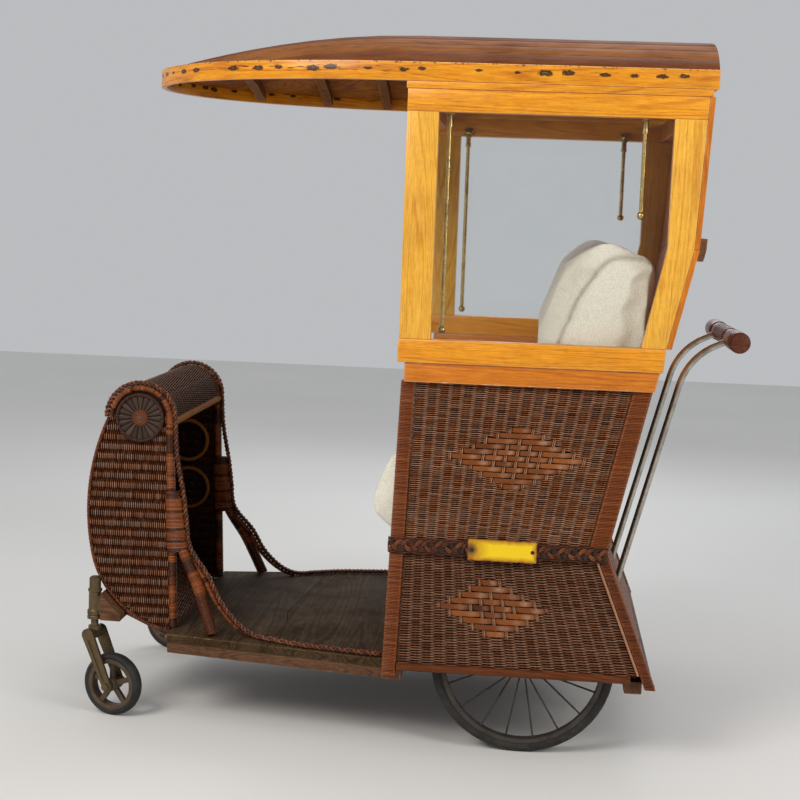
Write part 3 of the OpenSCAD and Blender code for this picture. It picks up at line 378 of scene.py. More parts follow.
# dark reddish-brown wood, and partly painted shade for the shade the bottom rails lie in
railWood = woodFinish("roundRailWood", alongX, dark=(0.06, 0.016, 0.004), mid=(0.13, 0.036, 0.009), light=(0.2, 0.06, 0.016),
                      gloss=0.4, coat=0.03, shine=0.15)
gripWood = woodFinish("gripWood", alongY, dark=(0.05, 0.014, 0.006), mid=(0.15, 0.038, 0.014), light=(0.26, 0.075, 0.028),
                      gloss=0.3, wearAndSheen=(0.42, 0.2, 0.1))
reedFinish = wickerFinish("stainedReed", [(0.22, (0.03, 0.008, 0.003)), (0.46, (0.24, 0.07, 0.016)), (0.8, (0.56, 0.34, 0.22))],
                          (0.5, 0.33, 0.23), rub=0.2)
skirtReed = wickerFinish("skirtReed", [(0.22, (0.02, 0.006, 0.0025)), (0.46, (0.16, 0.045, 0.011)), (0.8, (0.42, 0.25, 0.16))],
                         (0.4, 0.26, 0.18), rub=0.2)
dashReed = wickerFinish("dashReed", [(0.22, (0.022, 0.007, 0.003)), (0.46, (0.14, 0.036, 0.009)), (0.8, (0.36, 0.21, 0.14))],
                        (0.4, 0.27, 0.2), rub=0.2, shine=0.06)
# painted shade: a darker copy of the dash's reed, for the shade the roll lies in
rollReed = wickerFinish("rollReed", [(0.22, (0.012, 0.004, 0.0015)), (0.46, (0.075, 0.022, 0.006)), (0.8, (0.17, 0.085, 0.045))],
                        (0.2, 0.12, 0.08), rub=0.2, shine=0.05)
darkReed = wickerFinish("shadedReed", [(0.1, (0.006, 0.003, 0.002)), (0.9, (0.014, 0.006, 0.004))],
                        (0.02, 0.01, 0.006), gloss=0.8)
# the pale colour below is partly rubbed wear and partly the strips' painted highlight
flatReed = wickerFinish("flatReed", [(0.15, (0.07, 0.018, 0.004)), (0.5, (0.185, 0.052, 0.01)), (0.85, (0.29, 0.092, 0.02))],
                        (0.48, 0.29, 0.19), gloss=0.34, rub=0.15)
petalReed = wickerFinish("rosetteReed", [(0.2, (0.02, 0.013, 0.01)), (0.5, (0.055, 0.034, 0.025)), (0.9, (0.11, 0.07, 0.052))],
                         (0.16, 0.11, 0.085), rub=0.2, shine=0.12)
canewrap = wickerFinish("wrappedCane", [(0.08, (0.022, 0.007, 0.003)), (0.42, (0.16, 0.038, 0.007)), (0.8, (0.34, 0.094, 0.02))],
                        (0.45, 0.25, 0.13), gloss=0.3, coat=0.1, rub=0.3, shine=0.3)
braidReed = wickerFinish("braidReed", [(0.15, (0.014, 0.007, 0.005)), (0.5, (0.1, 0.028, 0.009)), (0.85, (0.27, 0.08, 0.022))],
                         (0.28, 0.16, 0.1), gloss=0.34, coat=0.1, rub=0.3, shine=0.25)
rattan = wickerFinish("rattanPole", [(0.1, (0.1, 0.034, 0.007)), (0.5, (0.25, 0.095, 0.02)), (0.9, (0.42, 0.19, 0.06))],
                      (0.45, 0.26, 0.12), gloss=0.72, rub=0.2, shine=0.05)
brass = metalFinish("agedBrass", (0.62, 0.45, 0.16), (0.3, 0.2, 0.075), 0.24, rust=(0.1, 0.075, 0.03), rustShare=0.5)
bronze = metalFinish("bronzePaintedIron", (0.13, 0.09, 0.043), (0.048, 0.033, 0.017), 0.42, rust=(0.075, 0.032, 0.013), rustShare=0.7,
                     metallic=0.7)
wheelIron = metalFinish("rustyWheelIron", (0.11, 0.075, 0.045), (0.05, 0.033, 0.021), 0.5, rust=(0.09, 0.036, 0.016), rustShare=0.8,
                        metallic=0.5)
nickel = metalFinish("wornNickel", (0.46, 0.43, 0.37), (0.26, 0.235, 0.19), 0.3, rust=(0.14, 0.085, 0.045), rustShare=0.45)
darkIron = metalFinish("darkIron", (0.075, 0.065, 0.055), (0.04, 0.034, 0.03), 0.5, rust=(0.12, 0.05, 0.022), rustShare=0.6,
                       metallic=0.7)
screwIron = metalFinish("screwIron", (0.06, 0.05, 0.042), (0.03, 0.025, 0.022), 0.4, rust=(0.1, 0.04, 0.015), scale=80.0)


def rubberFinish():
    mat, tree, shader = newMaterial("agedRubber", Specular_IOR_Level=0.3)
    at = coordsFor(tree, False)
    dirt = useGroup(tree, dirtGroup, {"Vector": at, "Scale": 14.0})
    colour = blendColour(tree, "MIX", dirt.outputs["Dirt"], (0.017, 0.016, 0.015), (0.042, 0.037, 0.031))
    colour = blendColour(tree, "MIX", times(tree, dirt.outputs["Rub"], 0.4), colour, (0.09, 0.078, 0.063))
    tree.links.new(colour, shader.inputs["Base Color"])
    tree.links.new(span(tree, dirt.outputs["Fine"], 0.3, 0.7, 0.62, 0.85), shader.inputs["Roughness"])
    setBump(tree, shader, dirt.outputs["Rub"], 0.3, 0.0008)
    return mat


def boucleFinish():
    # cream loop-pile cloth: fine loops, slubs that run up and down, a little soil
    mat, tree, shader = newMaterial("creamLoopCloth", Roughness=0.92, Specular_IOR_Level=0.2,
                                    Sheen_Weight=0.3, Sheen_Roughness=0.5)
    at = coordsFor(tree, False)
    loops = add(tree, "TexVoronoi", {"Vector": at, "Scale": 430.0, "Randomness": 1.0})
    upright = add(tree, "Mapping", {"Vector": at, "Scale": (190, 190, 16)}).outputs[0]
    slubs = add(tree, "TexNoise", {"Vector": upright, "Detail": 3.0})
    fine = add(tree, "TexNoise", {"Vector": at, "Scale": 620.0, "Detail": 3.0})
    soil = useGroup(tree, dirtGroup, {"Vector": at, "Scale": 4.0})
    height = minus(tree, times(tree, slubs.outputs["Fac"], 0.6), times(tree, loops.outputs["Distance"], 0.6))
    height = plus(tree, height, times(tree, fine.outputs["Fac"], 0.5))
    colour = ramp(tree, span(tree, height, 0.0, 0.6),
                  [(0.0, (0.64, 0.58, 0.46)), (0.45, (0.78, 0.745, 0.635)), (1.0, (0.87, 0.85, 0.755))])
    colour = blendColour(tree, "MULTIPLY", times(tree, soil.outputs["Dirt"], 0.16), colour, (0.72, 0.62, 0.48))
    # painted shade in the groove round each end face of the back cushion
    colour = blendColour(tree, "MULTIPLY", times(tree, attr(tree, "crease"), 0.75), colour, (0.42, 0.36, 0.28))
    tree.links.new(colour, shader.inputs["Base Color"])
    setBump(tree, shader, height, 0.5, 0.0011)
    return mat


def glassFinish():
    mat, tree, shader = newMaterial("oldGlass", Transmission_Weight=1.0, IOR=1.03, Metallic=0.0, Alpha=0.3,
                                    Coat_Weight=1.0, Coat_Roughness=0.02)
    at = coordsFor(tree, False)
    dirt = useGroup(tree, dirtGroup, {"Vector": at, "Scale": 5.0})
    colour = blendColour(tree, "MIX", dirt.outputs["Dirt"], (0.86, 0.9, 0.89), (0.78, 0.82, 0.8))
    tree.links.new(colour, shader.inputs["Base Color"])
    tree.links.new(span(tree, dirt.outputs["Dirt"], 0, 1, 0.0, 0.05), shader.inputs["Roughness"])
    wave = add(tree, "TexNoise", {"Vector": at, "Scale": 5.0, "Detail": 1.0})
    setBump(tree, shader, wave.outputs["Fac"], 0.08, 0.002)
    return mat


rubber, boucle, glass = rubberFinish(), boucleFinish(), glassFinish()
print("materials made:", len(bpy.data.materials))


# piece helpers
def addPiece(name, mesh, material, nodes=(), body="chair"):
    mesh.polygons.foreach_set("use_smooth", [True] * len(mesh.polygons))
    ob = bpy.data.objects.new(name, mesh)
    scene.collection.objects.link(ob)
    mesh.materials.clear()
    for mat in material if isinstance(material, (list, tuple)) else [material]:
        mesh.materials.append(mat)
    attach(ob, body)
    if nodes:
        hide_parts(*nodes)
    return ob


def closeMesh(name, bm, sharp=35, scale=mm, outward=True):
    # a bmesh in millimetres becomes a mesh in metres, with sharp edges kept sharp
    if scale != 1:
        bmesh.ops.scale(bm, vec=(scale,) * 3, verts=bm.verts)
    if outward:
        bmesh.ops.recalc_face_normals(bm, faces=bm.faces)
    for edge in bm.edges:
        edge.smooth = len(edge.link_faces) != 2 or edge.calc_face_angle(0) < math.radians(sharp)
    mesh = bpy.data.meshes.new(name)
    bm.to_mesh(mesh)
    bm.free()
    return mesh


def islandTones(bm):
    # one random shade for each loose solid of a bmesh
    layer = bm.verts.layers.float.get("tone") or bm.verts.layers.float.new("tone")
    seen = set()
    for start in bm.verts:
        if start in seen:
            continue
        shade = float(dice.random())
        stack = [start]
        seen.add(start)
        while stack:
            vert = stack.pop()
            vert[layer] = shade
            for edge in vert.link_edges:
                other = edge.other_vert(vert)
                if other not in seen:
                    seen.add(other)
                    stack.append(other)


def easedCopy(node, ease, segments=2, sharp=28, flat=True):
    # a merged copy of a CAD solid with its edges rounded over
    bm = bmesh.new()
    bm.from_mesh(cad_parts[node].data)
    bmesh.ops.remove_doubles(bm, verts=bm.verts, dist=2e-5)
    if flat:
        bmesh.ops.dissolve_limit(bm, angle_limit=math.radians(1.0), use_dissolve_boundaries=False,
                                 verts=bm.verts, edges=bm.edges, delimit={"NORMAL"})
    islandTones(bm)
    mark = bm.faces.layers.float.new("edge")
    if ease:
        hard = [e for e in bm.edges if len(e.link_faces) == 2 and e.calc_face_angle(0) > math.radians(sharp)]
        made = bmesh.ops.bevel(bm, geom=hard, offset=ease * mm, offset_type="OFFSET", affect="EDGES", segments=segments,
                               profile=0.5, material=-1, clamp_overlap=True, loop_slide=True)
        for face in made["faces"]:
            face[mark] = 1.0
    return bm


def dressNode(node, material, ease, body="chair", segments=2, flat=True, sharp=28):
    bm = easedCopy(node, ease, segments, sharp, flat)
    return addPiece(node + "_made", closeMesh(node + "_made", bm, scale=1, outward=False), material, [node], body)


def reedSection(sides):
    # closed outline that a reed's curve carries along
    data = bpy.data.curves.new("reedSection", "CURVE")
    data.dimensions = "2D"
    loop = data.splines.new("POLY")
    loop.points.add(sides - 1)
    turn = -2 * math.pi * np.arange(sides) / sides
    full = 1.1 if sides == 3 else 1.0  # a three-sided reed is as wide to the eye as a round one
    loop.points.foreach_set("co", np.c_[full * mm * np.cos(turn), full * mm * np.sin(turn), turn * 0, turn * 0 + 1].ravel())
    loop.use_cyclic_u = True
    ob = bpy.data.objects.new("reedSection", data)
    scene.collection.objects.link(ob)
    return ob


def reedMesh(name, paths, radius, tones, sides=3, capped=False, lift=0.0):
    # reeds along paths, each with its own shade and thickness; lift paints shade on the lower side and a painted
    # highlight on the upper
    data = bpy.data.curves.new(name, "CURVE")
    data.dimensions = "3D"
    section = reedSection(sides)
    data.bevel_mode = "OBJECT"
    data.bevel_object = section
    radii = radius if isinstance(radius, (list, tuple)) else [radius] * len(paths)
    shades, middles = [], []
    for path, thick, tone in zip(paths, radii, tones):
        path = np.asarray(path, float)
        thick = np.broadcast_to(np.asarray(thick, float), len(path))
        tone = np.broadcast_to(np.asarray(tone, float), len(path))
        if capped:  # the ends draw in to a point on the end face
            path = np.vstack([path[0] + (path[0] - path[1]) * 1e-3, path, path[-1] + (path[-1] - path[-2]) * 1e-3])
            thick, tone = np.r_[0.05, thick, 0.05], np.r_[tone[0], tone, tone[-1]]
        line = data.splines.new("POLY")
        line.points.add(len(path) - 1)
        line.points.foreach_set("co", np.c_[path * mm, np.ones(len(path))].ravel())
        line.points.foreach_set("radius", thick.copy())
        shades.append(np.repeat(tone, sides))
        middles.append(np.repeat(np.c_[path[:, 0], path[:, 2], thick], sides, axis=0))
    ob = bpy.data.objects.new(name, data)
    scene.collection.objects.link(ob)
    mesh = bpy.data.meshes.new_from_object(ob.evaluated_get(bpy.context.evaluated_depsgraph_get()))
    bpy.data.objects.remove(ob)
    bpy.data.curves.remove(data)
    bpy.data.curves.remove(section.data)
    mesh.name = name
    shades = np.concatenate(shades)
    if lift:
        spots, middles = np.zeros(len(shades) * 3), np.concatenate(middles)
        mesh.vertices.foreach_get("co", spots)
        spots = spots.reshape(-1, 3) / mm
        # painted light: points facing up and to the front are paled, those facing down and back darkened
        above = (0.9 * (spots[:, 2] - middles[:, 1]) - 0.45 * (spots[:, 0] - middles[:, 0])) / middles[:, 2]
        shades = np.clip(shades + lift * above, 0.0, 1.0)
    layer = mesh.attributes.new("tone", "FLOAT", "POINT")
    layer.data.foreach_set("value", shades.astype(np.float32))
    return mesh


def wovenPaths(place, stakes, rows, swing, fine=True, hidden=None, lit=None, bends=8):
    # plain weave: each row passes in front of and behind the stakes in turn, and lies level between them, with a
    # painted highlight where it turns back and painted shade where it comes forward
    paths, tones = [], []
    marks = (0.0, 0.3, 0.7) if fine else (0.26, 0.74)
    spots = np.concatenate([[k + m for m in marks] for k in range(stakes)] + [[stakes]])
    over = np.concatenate([np.repeat(np.arange(stakes), len(marks)), [stakes]])
    crest = np.array([m > 0.1 for m in marks] * stakes + [False])
    for row in range(rows):
        level = (row + 0.5 + 0.05 * dice.standard_normal()) / rows
        front = np.where((over + row) % 2 == 0, 1.0, -1.0)
        wave = front * swing * (1 + 0.06 * dice.standard_normal(len(spots)))
        depth = np.where(crest, wave, 0.25 * dice.standard_normal(len(spots)))
        if hidden is not None:
            depth = np.where(hidden(spots, level), -swing, depth)
        paths.append(np.stack(place(spots / stakes, np.full(len(spots), level), depth), 1))
        base = 0.05 * dice.standard_normal() + 0.05 * dice.standard_normal(stakes + 1)[over]
        between = np.where(front < 0, 0.84, 0.3)  # a reed that turns back gets a painted highlight, one that comes forward gets painted shade
        tones.append(np.clip(np.where(crest, 0.45 if fine else 0.5, between) + base, 0.02, 1))
    for k in range(stakes):
        level = np.linspace(-0.01, 1.01, bends)
        # stakes are painted dark: painted shade, where they lie behind the reeds
        shade = 0.2 + 0.05 * dice.standard_normal()
        shown = np.where(lit(k, level), 0.66, shade) if lit is not None else np.full(bends, shade)
        for reed in (-1, 1):  # a stake is a pair of reeds
            paths.append(np.stack(place(np.full(bends, (k + 0.5 + 0.075 * reed) / stakes), level, np.zeros(bends)), 1))
            tones.append(np.clip(shown + 0.06 * reed, 0.02, 1))
    return paths, tones


def weavePiece(name, sheets, reed, stakeR, material, nodes):
    paths, tones, radii = [], [], []
    for sheetPaths, sheetTones, stakes in sheets:
        paths += sheetPaths
        tones += sheetTones
        radii += [reed * (1 + 0.05 * dice.standard_normal()) for _ in range(len(sheetPaths) - 2 * stakes)]
        radii += [stakeR] * 2 * stakes
    return addPiece(name, reedMesh(name, paths, radii, tones, lift=0.28), material, nodes, "chair")


def backingSheet(bm, place, depth, across=2, up=24):
    # dark sheet inside the weave, where the reeds lie too deep for light
    got = bmesh.ops.create_grid(bm, x_segments=across, y_segments=up, size=0.5)["verts"]
    u = np.array([v.co.x + 0.5 for v in got])
    v = np.array([v.co.y + 0.5 for v in got])
    for vert, spot in zip(got, np.stack(place(u, v, np.full(len(u), float(depth))), 1)):
        vert.co = spot


# woven body panels
upperSide = {"stakes": 18, "rowStep": 2.4, "reed": 1.32, "stake": 2.0, "swing": 3.5, "low": 494, "high": 866, "rearIn": 46,
             "middle": 9, "midZ": 699.8, "reach": 5, "flatStep": 12.9, "flatHigh": 10.6}
skirtSide = {"stakes": 20, "rowStep": 2.95, "reed": 1.6, "stake": 2.0, "swing": 3.5, "low": 215, "high": 486, "rearIn": 26,
             "middle": 8, "midZ": 354.5, "reach": 4, "flatStep": 14.8, "flatHigh": 12.4}
backWeave = {"stakes": 36, "rowStep": 3.4, "reed": 1.75, "stake": 2.0, "swing": 3.4}
apronWeave = {"stakes": 36, "rowStep": 3.0, "reed": 1.55, "stake": 2.0, "swing": 3.4, "low": 216, "high": 484}


def bodySide(side, spec):
    def place(u, v, d):
        z = spec["low"] + v * (spec["high"] - spec["low"])
        x0, x1 = frontX(z) + 34, rearX(z) - spec["rearIn"]
        return x0 + u * (x1 - x0), side * (481 + d), z
    return place


def bodyBack(low, high):
    def place(u, v, d):
        z = low + v * (high - low)
        return rearX(z) - 10 + d, -462 + 924 * u, z
    return place


def bodyApron(low, high):
    def place(u, v, d):
        z = low + v * (high - low)
        return frontX(z) + 12 - d, -462 + 924 * u, z
    return place


def weaveSheet(place, spec, height, fine=False, hidden=None, lit=None):
    rows = int(height / spec["rowStep"])
    return (*wovenPaths(place, spec["stakes"], rows, spec["swing"], fine, hidden, lit, 40 if lit else 8), spec["stakes"])


def diamondReach(spec, level):
    # stakes either side of the middle one that the diamond takes at a height
    row = np.abs(spec["low"] + level * (spec["high"] - spec["low"]) - spec["midZ"]) / spec["flatStep"]
    return np.where(row < spec["reach"] + 0.5, spec["reach"] - np.round(row) + 1, 0)


def makeWovenBody():
    backs = bmesh.new()
    for name, spec, node in (("side_weave", upperSide, "side_panels"), ("skirt_weave", skirtSide, "side_skirts")):
        hidden = lambda spots, level: np.abs(spots - spec["middle"] - 0.5) < diamondReach(spec, level) - 0.05
        lit = lambda k, level: abs(k - spec["middle"]) < diamondReach(spec, level) + 0.5 * (diamondReach(spec, level) > 0)
        high = spec["high"] - spec["low"]
        sheets = [weaveSheet(bodySide(s, spec), spec, high, True, hidden, lit) for s in (-1, 1)]
        weavePiece(name, sheets, spec["reed"], spec["stake"], reedFinish if spec is upperSide else skirtReed, [node])
        for s in (-1, 1):
            backingSheet(backs, bodySide(s, spec), -1.6)
    for name, low, high, node in (("back_weave", 492, 866, "back_panel"), ("back_skirt_weave", 219, 492, "back_skirt")):
        sheet = weaveSheet(bodyBack(low, high), backWeave, high - low)
        weavePiece(name, [sheet], backWeave["reed"], backWeave["stake"], skirtReed, [node])
        backingSheet(backs, bodyBack(low, high), -0.4)
    low, high = apronWeave["low"], apronWeave["high"]
    sheet = weaveSheet(bodyApron(low, high), apronWeave, high - low)
    weavePiece("apron_weave", [sheet], apronWeave["reed"], apronWeave["stake"], skirtReed, ["front_apron"])
    backingSheet(backs, bodyApron(low, high), -0.4)
    addPiece("weave_shade_sheets", closeMesh("weave_shade_sheets", backs), darkReed, (), "chair")


makeWovenBody()
print("woven body made")

# flat reeds of a diamond by row from its tip to its middle: the stakes that each one runs between
diamondRows = [
    [(-1, 1)], [(-2, 2)], [(-3, 0), (0, 3)], [(-4, -1), (-1, 1), (1, 4)], [(-5, -2), (-2, 0), (0, 2), (2, 5)],
    [(-6, -3), (-3, -1), (-1, 1), (1, 3), (3, 6)]]


def stripShape(bm, layers, place, u0, u1, v, half):
    # one flat strip, bowed out over its stakes, dipping at both ends, with a painted highlight on one half
    got = bmesh.ops.create_grid(bm, x_segments=10, y_segments=2, size=1)["verts"]
    shade = float(np.clip(0.5 + 0.13 * dice.standard_normal(), 0.1, 0.95))
    # strength of the painted highlight on the strip's right half, the side that faces the light
    wearAndSheen = 0.2 + 0.45 * dice.random()
    for vert in got:
        along, up = vert.co.x, vert.co.y
        u = u0 + (u1 - u0) * (along + 1) / 2
        out = 6.3 - 5.2 * abs(along) ** 8 - 0.8 * up * up
        x, y, z = place(np.array(u), np.array(v + up * half), np.array(out))
        vert.co = (float(x), float(y), float(z))
        vert[layers[0]] = shade
        vert[layers[1]] = float(wearAndSheen * np.exp(-((along - 0.45) / 0.28) ** 2) * (1 - 0.6 * up * up))


def makeDiamonds():
    bm = bmesh.new()
    layers = bm.verts.layers.float.new("tone"), bm.verts.layers.float.new("wearAndSheen")
    for spec in (upperSide, skirtSide):
        high = spec["high"] - spec["low"]
        for side in (-1, 1):
            place = bodySide(side, spec)
            for row in range(-spec["reach"], spec["reach"] + 1):
                v = (spec["midZ"] + row * spec["flatStep"] - spec["low"]) / high
                for a, b in diamondRows[spec["reach"] - abs(row)]:
                    u0, u1 = ((spec["middle"] + 0.5 + k) / spec["stakes"] for k in (a + 0.19, b - 0.19))
                    stripShape(bm, layers, place, u0, u1, v, spec["flatHigh"] / 2 / high)
    bmesh.ops.recalc_face_normals(bm, faces=bm.faces)
    bmesh.ops.solidify(bm, geom=bm.faces[:], thickness=1.1)
    addPiece("flat_reed_diamonds", closeMesh("flat_reed_diamonds", bm, 60), flatReed, (), "chair")


makeDiamonds()
print("diamonds made")


# lines for poles, wraps and braids
class Line:
    # a smooth line through points, with its length and directions
    def __init__(self, points, smooth=True, step=3.0):
        pts = np.asarray(points, float)
        if smooth:
            ends = np.vstack([2 * pts[0] - pts[1], pts, 2 * pts[-1] - pts[-2]])
            out = []
            for i in range(1, len(ends) - 2):
                p0, p1, p2, p3 = ends[i - 1:i + 3]
                n = max(2, int(np.linalg.norm(p2 - p1) / step))
                t = np.linspace(0, 1, n, endpoint=False)[:, None]
                out.append(0.5 * (2 * p1 + (p2 - p0) * t + (2 * p0 - 5 * p1 + 4 * p2 - p3) * t ** 2
                                  + (3 * p1 - p0 - 3 * p2 + p3) * t ** 3))
            pts = np.vstack(out + [pts[-1:]])
        self.pts = pts
        self.run = np.concatenate([[0], np.cumsum(np.linalg.norm(np.diff(pts, axis=0), axis=1))])
        self.long = self.run[-1]

    def at(self, s):
        return np.stack([np.interp(s, self.run, self.pts[:, i]) for i in range(3)], 1)

    def frame(self, s, side=(0, 1, 0)):
        s = np.clip(s, 0, self.long)
        ahead = self.at(np.minimum(s + 2, self.long)) - self.at(np.maximum(s - 2, 0))
        ahead /= np.linalg.norm(ahead, axis=1)[:, None]
        across = np.asarray(side, float) - (ahead @ np.asarray(side, float))[:, None] * ahead
        across /= np.linalg.norm(across, axis=1)[:, None]
        return ahead, across, np.cross(ahead, across)


def windPath(line, halfWide, halfThick, pitch, perTurn=8, square=2.0, start=0.0, end=None, level=False):
    # cane wound round a line; square above 2 gives a section with rounded corners
    end = line.long if end is None else end
    count = int((end - start) / pitch * perTurn)
    s = np.linspace(start, end, count)
    turn = np.arange(count) * 2 * math.pi / perTurn
    if square > 4:  # three points to a corner, none on the flats
        turn = np.radians(90 * (np.arange(count) // 3) + np.take((22.5, 45.0, 67.5), np.arange(count) % 3))
    c, d = np.cos(turn), np.sin(turn)
    if square > 2:
        c, d = np.sign(c) * abs(c) ** (2 / square), np.sign(d) * abs(d) ** (2 / square)
    _, across, out = line.frame(s)
    if level:  # turns lie flat on a leaning post
        across, out = np.tile((0.0, 1.0, 0.0), (count, 1)), np.tile((1.0, 0.0, 0.0), (count, 1))
    wide = halfWide(s) if callable(halfWide) else halfWide
    thick = halfThick(s) if callable(halfThick) else halfThick
    path = line.at(s) + across * (d * thick)[:, None] + out * (c * wide)[:, None]
    turns = (np.arange(count) // perTurn)
    return path, s, turns


def windTones(turns, s, bands=(), base=0.5, loose=0.13):
    each = np.clip(base + loose * dice.standard_normal(turns.max() + 2), 0.05, 1)
    shade = each[turns]
    for low, high, value in bands:
        shade = np.where((s >= low) & (s <= high), value + 0.05 * (each[turns] - base), shade)
    return np.clip(shade, 0.02, 1)


def mirrored(paths):
    return paths + [np.asarray(p) * (1, -1, 1) for p in paths]


# wrapped corner posts: halves of the width, and the depth across the chair
postWrap = {"front": 17, "rear": 23, "rearLow": 13, "half": 15, "reed": 1.9, "pitch": 3.6}


def makePosts():
    spec = postWrap
    paths, tones, radii = [], [], []
    levels = np.linspace(188, 864, 40)
    front = Line(np.c_[frontX(levels) + spec["front"], np.full(40, 476.0), levels], smooth=False)
    upper = np.linspace(492, 864, 20)
    rearUp = Line(np.c_[rearX(upper) - spec["rear"], np.full(20, 476.0), upper], smooth=False)
    lower = np.linspace(188, 500, 20)
    rearLow = Line(np.c_[rearX(np.minimum(lower, 492)) - spec["rearLow"], np.full(20, 476.0), lower], smooth=False)
    bm = bmesh.new()
    for line, half in ((front, spec["front"]), (rearUp, spec["rear"]), (rearLow, spec["rearLow"])):
        path, s, turns = windPath(line, half - spec["reed"], spec["half"] - spec["reed"], spec["pitch"], 12, 7.0, level=True)
        shade = windTones(turns, s, base=0.5 if line is not rearLow else 0.32, loose=0.07)
        shade = np.clip(shade + 0.38 * (np.arange(len(s)) % 3 == 1), 0, 1)  # painted highlight along the edges
        paths.append(path)
        tones.append(shade)
        radii.append(spec["reed"])
        for sy in (-1, 1):  # plain core inside the winding
            a, b = line.pts[0], line.pts[-1]
            core = bmesh.ops.create_cube(bm, size=1)["verts"]
            for vert in core:
                end = a if vert.co.z < 0 else b
                vert.co = (end[0] + vert.co.x * 2 * (half - 2.5), sy * (476 + vert.co.y * 2 * (spec["half"] - 2.5)), end[2])
    mesh = reedMesh("corner_post_wraps", mirrored(paths), radii * 2, tones * 2, lift=0.1)
    addPiece("corner_post_wraps", mesh, canewrap, ["corner_posts"], "chair")
    islandTones(bm)
    addPiece("corner_post_cores", closeMesh("corner_post_cores", bm), canewrap, (), "chair")


makePosts()


# plaits: strands cross from side to side and under one another
beltPlait = {"repeat": 46, "wide": 8.6, "deep": 2.6, "reeds": 3, "gap": 3.3, "reed": 1.9, "out": 497.2}
dashPlait = {"repeat": 34, "wide": 4.8, "deep": 3.0, "reeds": 1, "gap": 0, "reed": 3.3}


def plaitPaths(line, spec, side=(0, 1, 0), step=3.2):
    s = np.arange(0, line.long, step)
    _, across, out = line.frame(s, side)
    base = line.at(s)
    paths, tones = [], []
    for k in range(3):
        phase = 2 * math.pi * (s / spec["repeat"] + k / 3)
        sway = spec["wide"] * np.sin(phase)
        lift = spec["deep"] * np.sin(2 * phase)
        for j in range(spec["reeds"]):
            offset = (j - (spec["reeds"] - 1) / 2) * spec["gap"]
            paths.append(base + across * (sway + offset)[:, None] + out * lift[:, None])
            tones.append(np.clip((0.2, 0.5, 0.62)[k] + 0.1 * dice.standard_normal(), 0.05, 1)
                         + 0.08 * np.sin(s / 37 + k))
    return paths, tones


def makeBelts():
    spec = beltPlait
    line = Line([(-26, -spec["out"], 492), (468, -spec["out"], 492)], smooth=False)
    paths, tones = plaitPaths(line, spec, (0, 0, 1))
    radii = [spec["reed"]] * len(paths)
    for z in (475.5, 479, 505, 508.5):
        s = np.linspace(-26, 468, 120)
        paths.append(np.c_[s, -494.5 - 1.2 * np.sin(s / 4.1 + z), np.full(120, z)])
        tones.append(0.35 + 0.1 * dice.random())
        radii.append(1.9)
    mesh = reedMesh("belt_plaits", mirrored(paths), radii * 2, tones * 2, sides=4)
    addPiece("belt_plaits", mesh, braidReed, ["belt_braids"], "chair")


makeBelts()
print("posts and belts made")

# curled dash
dashSpec = {"half": 283, "rollX": -653.6, "rollZ": 726, "rollR": 71, "rimR": 11, "footX": -563.6, "footZ": 214,
            "stakes": 16, "rowStep": 3.0, "reed": 1.5, "stake": 2.2, "swing": 3.3}


def arcThrough(a, b, c, n, inset):
    a, b, c = (np.array(p, float) for p in (a, b, c))
    d = 2 * (a[0] * (b[1] - c[1]) + b[0] * (c[1] - a[1]) + c[0] * (a[1] - b[1]))
    qa, qb, qc = a @ a, b @ b, c @ c
    mid = np.array([(qa * (b[1] - c[1]) + qb * (c[1] - a[1]) + qc * (a[1] - b[1])) / d,
                    (qa * (c[0] - b[0]) + qb * (a[0] - c[0]) + qc * (b[0] - a[0])) / d])
    r = np.linalg.norm(a - mid) - inset
    t0, t1 = (math.atan2(*(p - mid)[::-1]) % (2 * math.pi) for p in (a, c))
    t = np.linspace(t0, t1, n + 1)
    return mid + r * np.stack([np.cos(t), np.sin(t)], 1)


def dashOutline(inset, n=30):
    upper = arcThrough((-735.6, 726), (-783.6, 498), (-768.6, 375), n, inset)
    lower = arcThrough((-768.6, 375), (-710.6, 272), (-577.6, 200), n, inset)
    toe = lower[-1] + (lower[-1] - lower[-2]) / np.linalg.norm(lower[-1] - lower[-2]) * 11  # under the platform's edge
    return np.vstack([upper[:-1], lower, toe])


def dashPostX(z):
    d = dashSpec
    return d["footX"] + (d["rollX"] + d["rollR"] - d["footX"]) * (z - d["footZ"]) / (d["rollZ"] - d["footZ"])


def sheetOver(outline, halfWide):
    line = Line(np.c_[outline[:, 0], np.zeros(len(outline)), outline[:, 1]], smooth=False)

    def place(u, v, d):
        s = v * line.long
        p = line.at(s)
        ahead, across, out = line.frame(s)
        q = p + out * np.asarray(d)[:, None]
        return q[:, 0], halfWide * (2 * u - 1), q[:, 2]
    return place, line.long


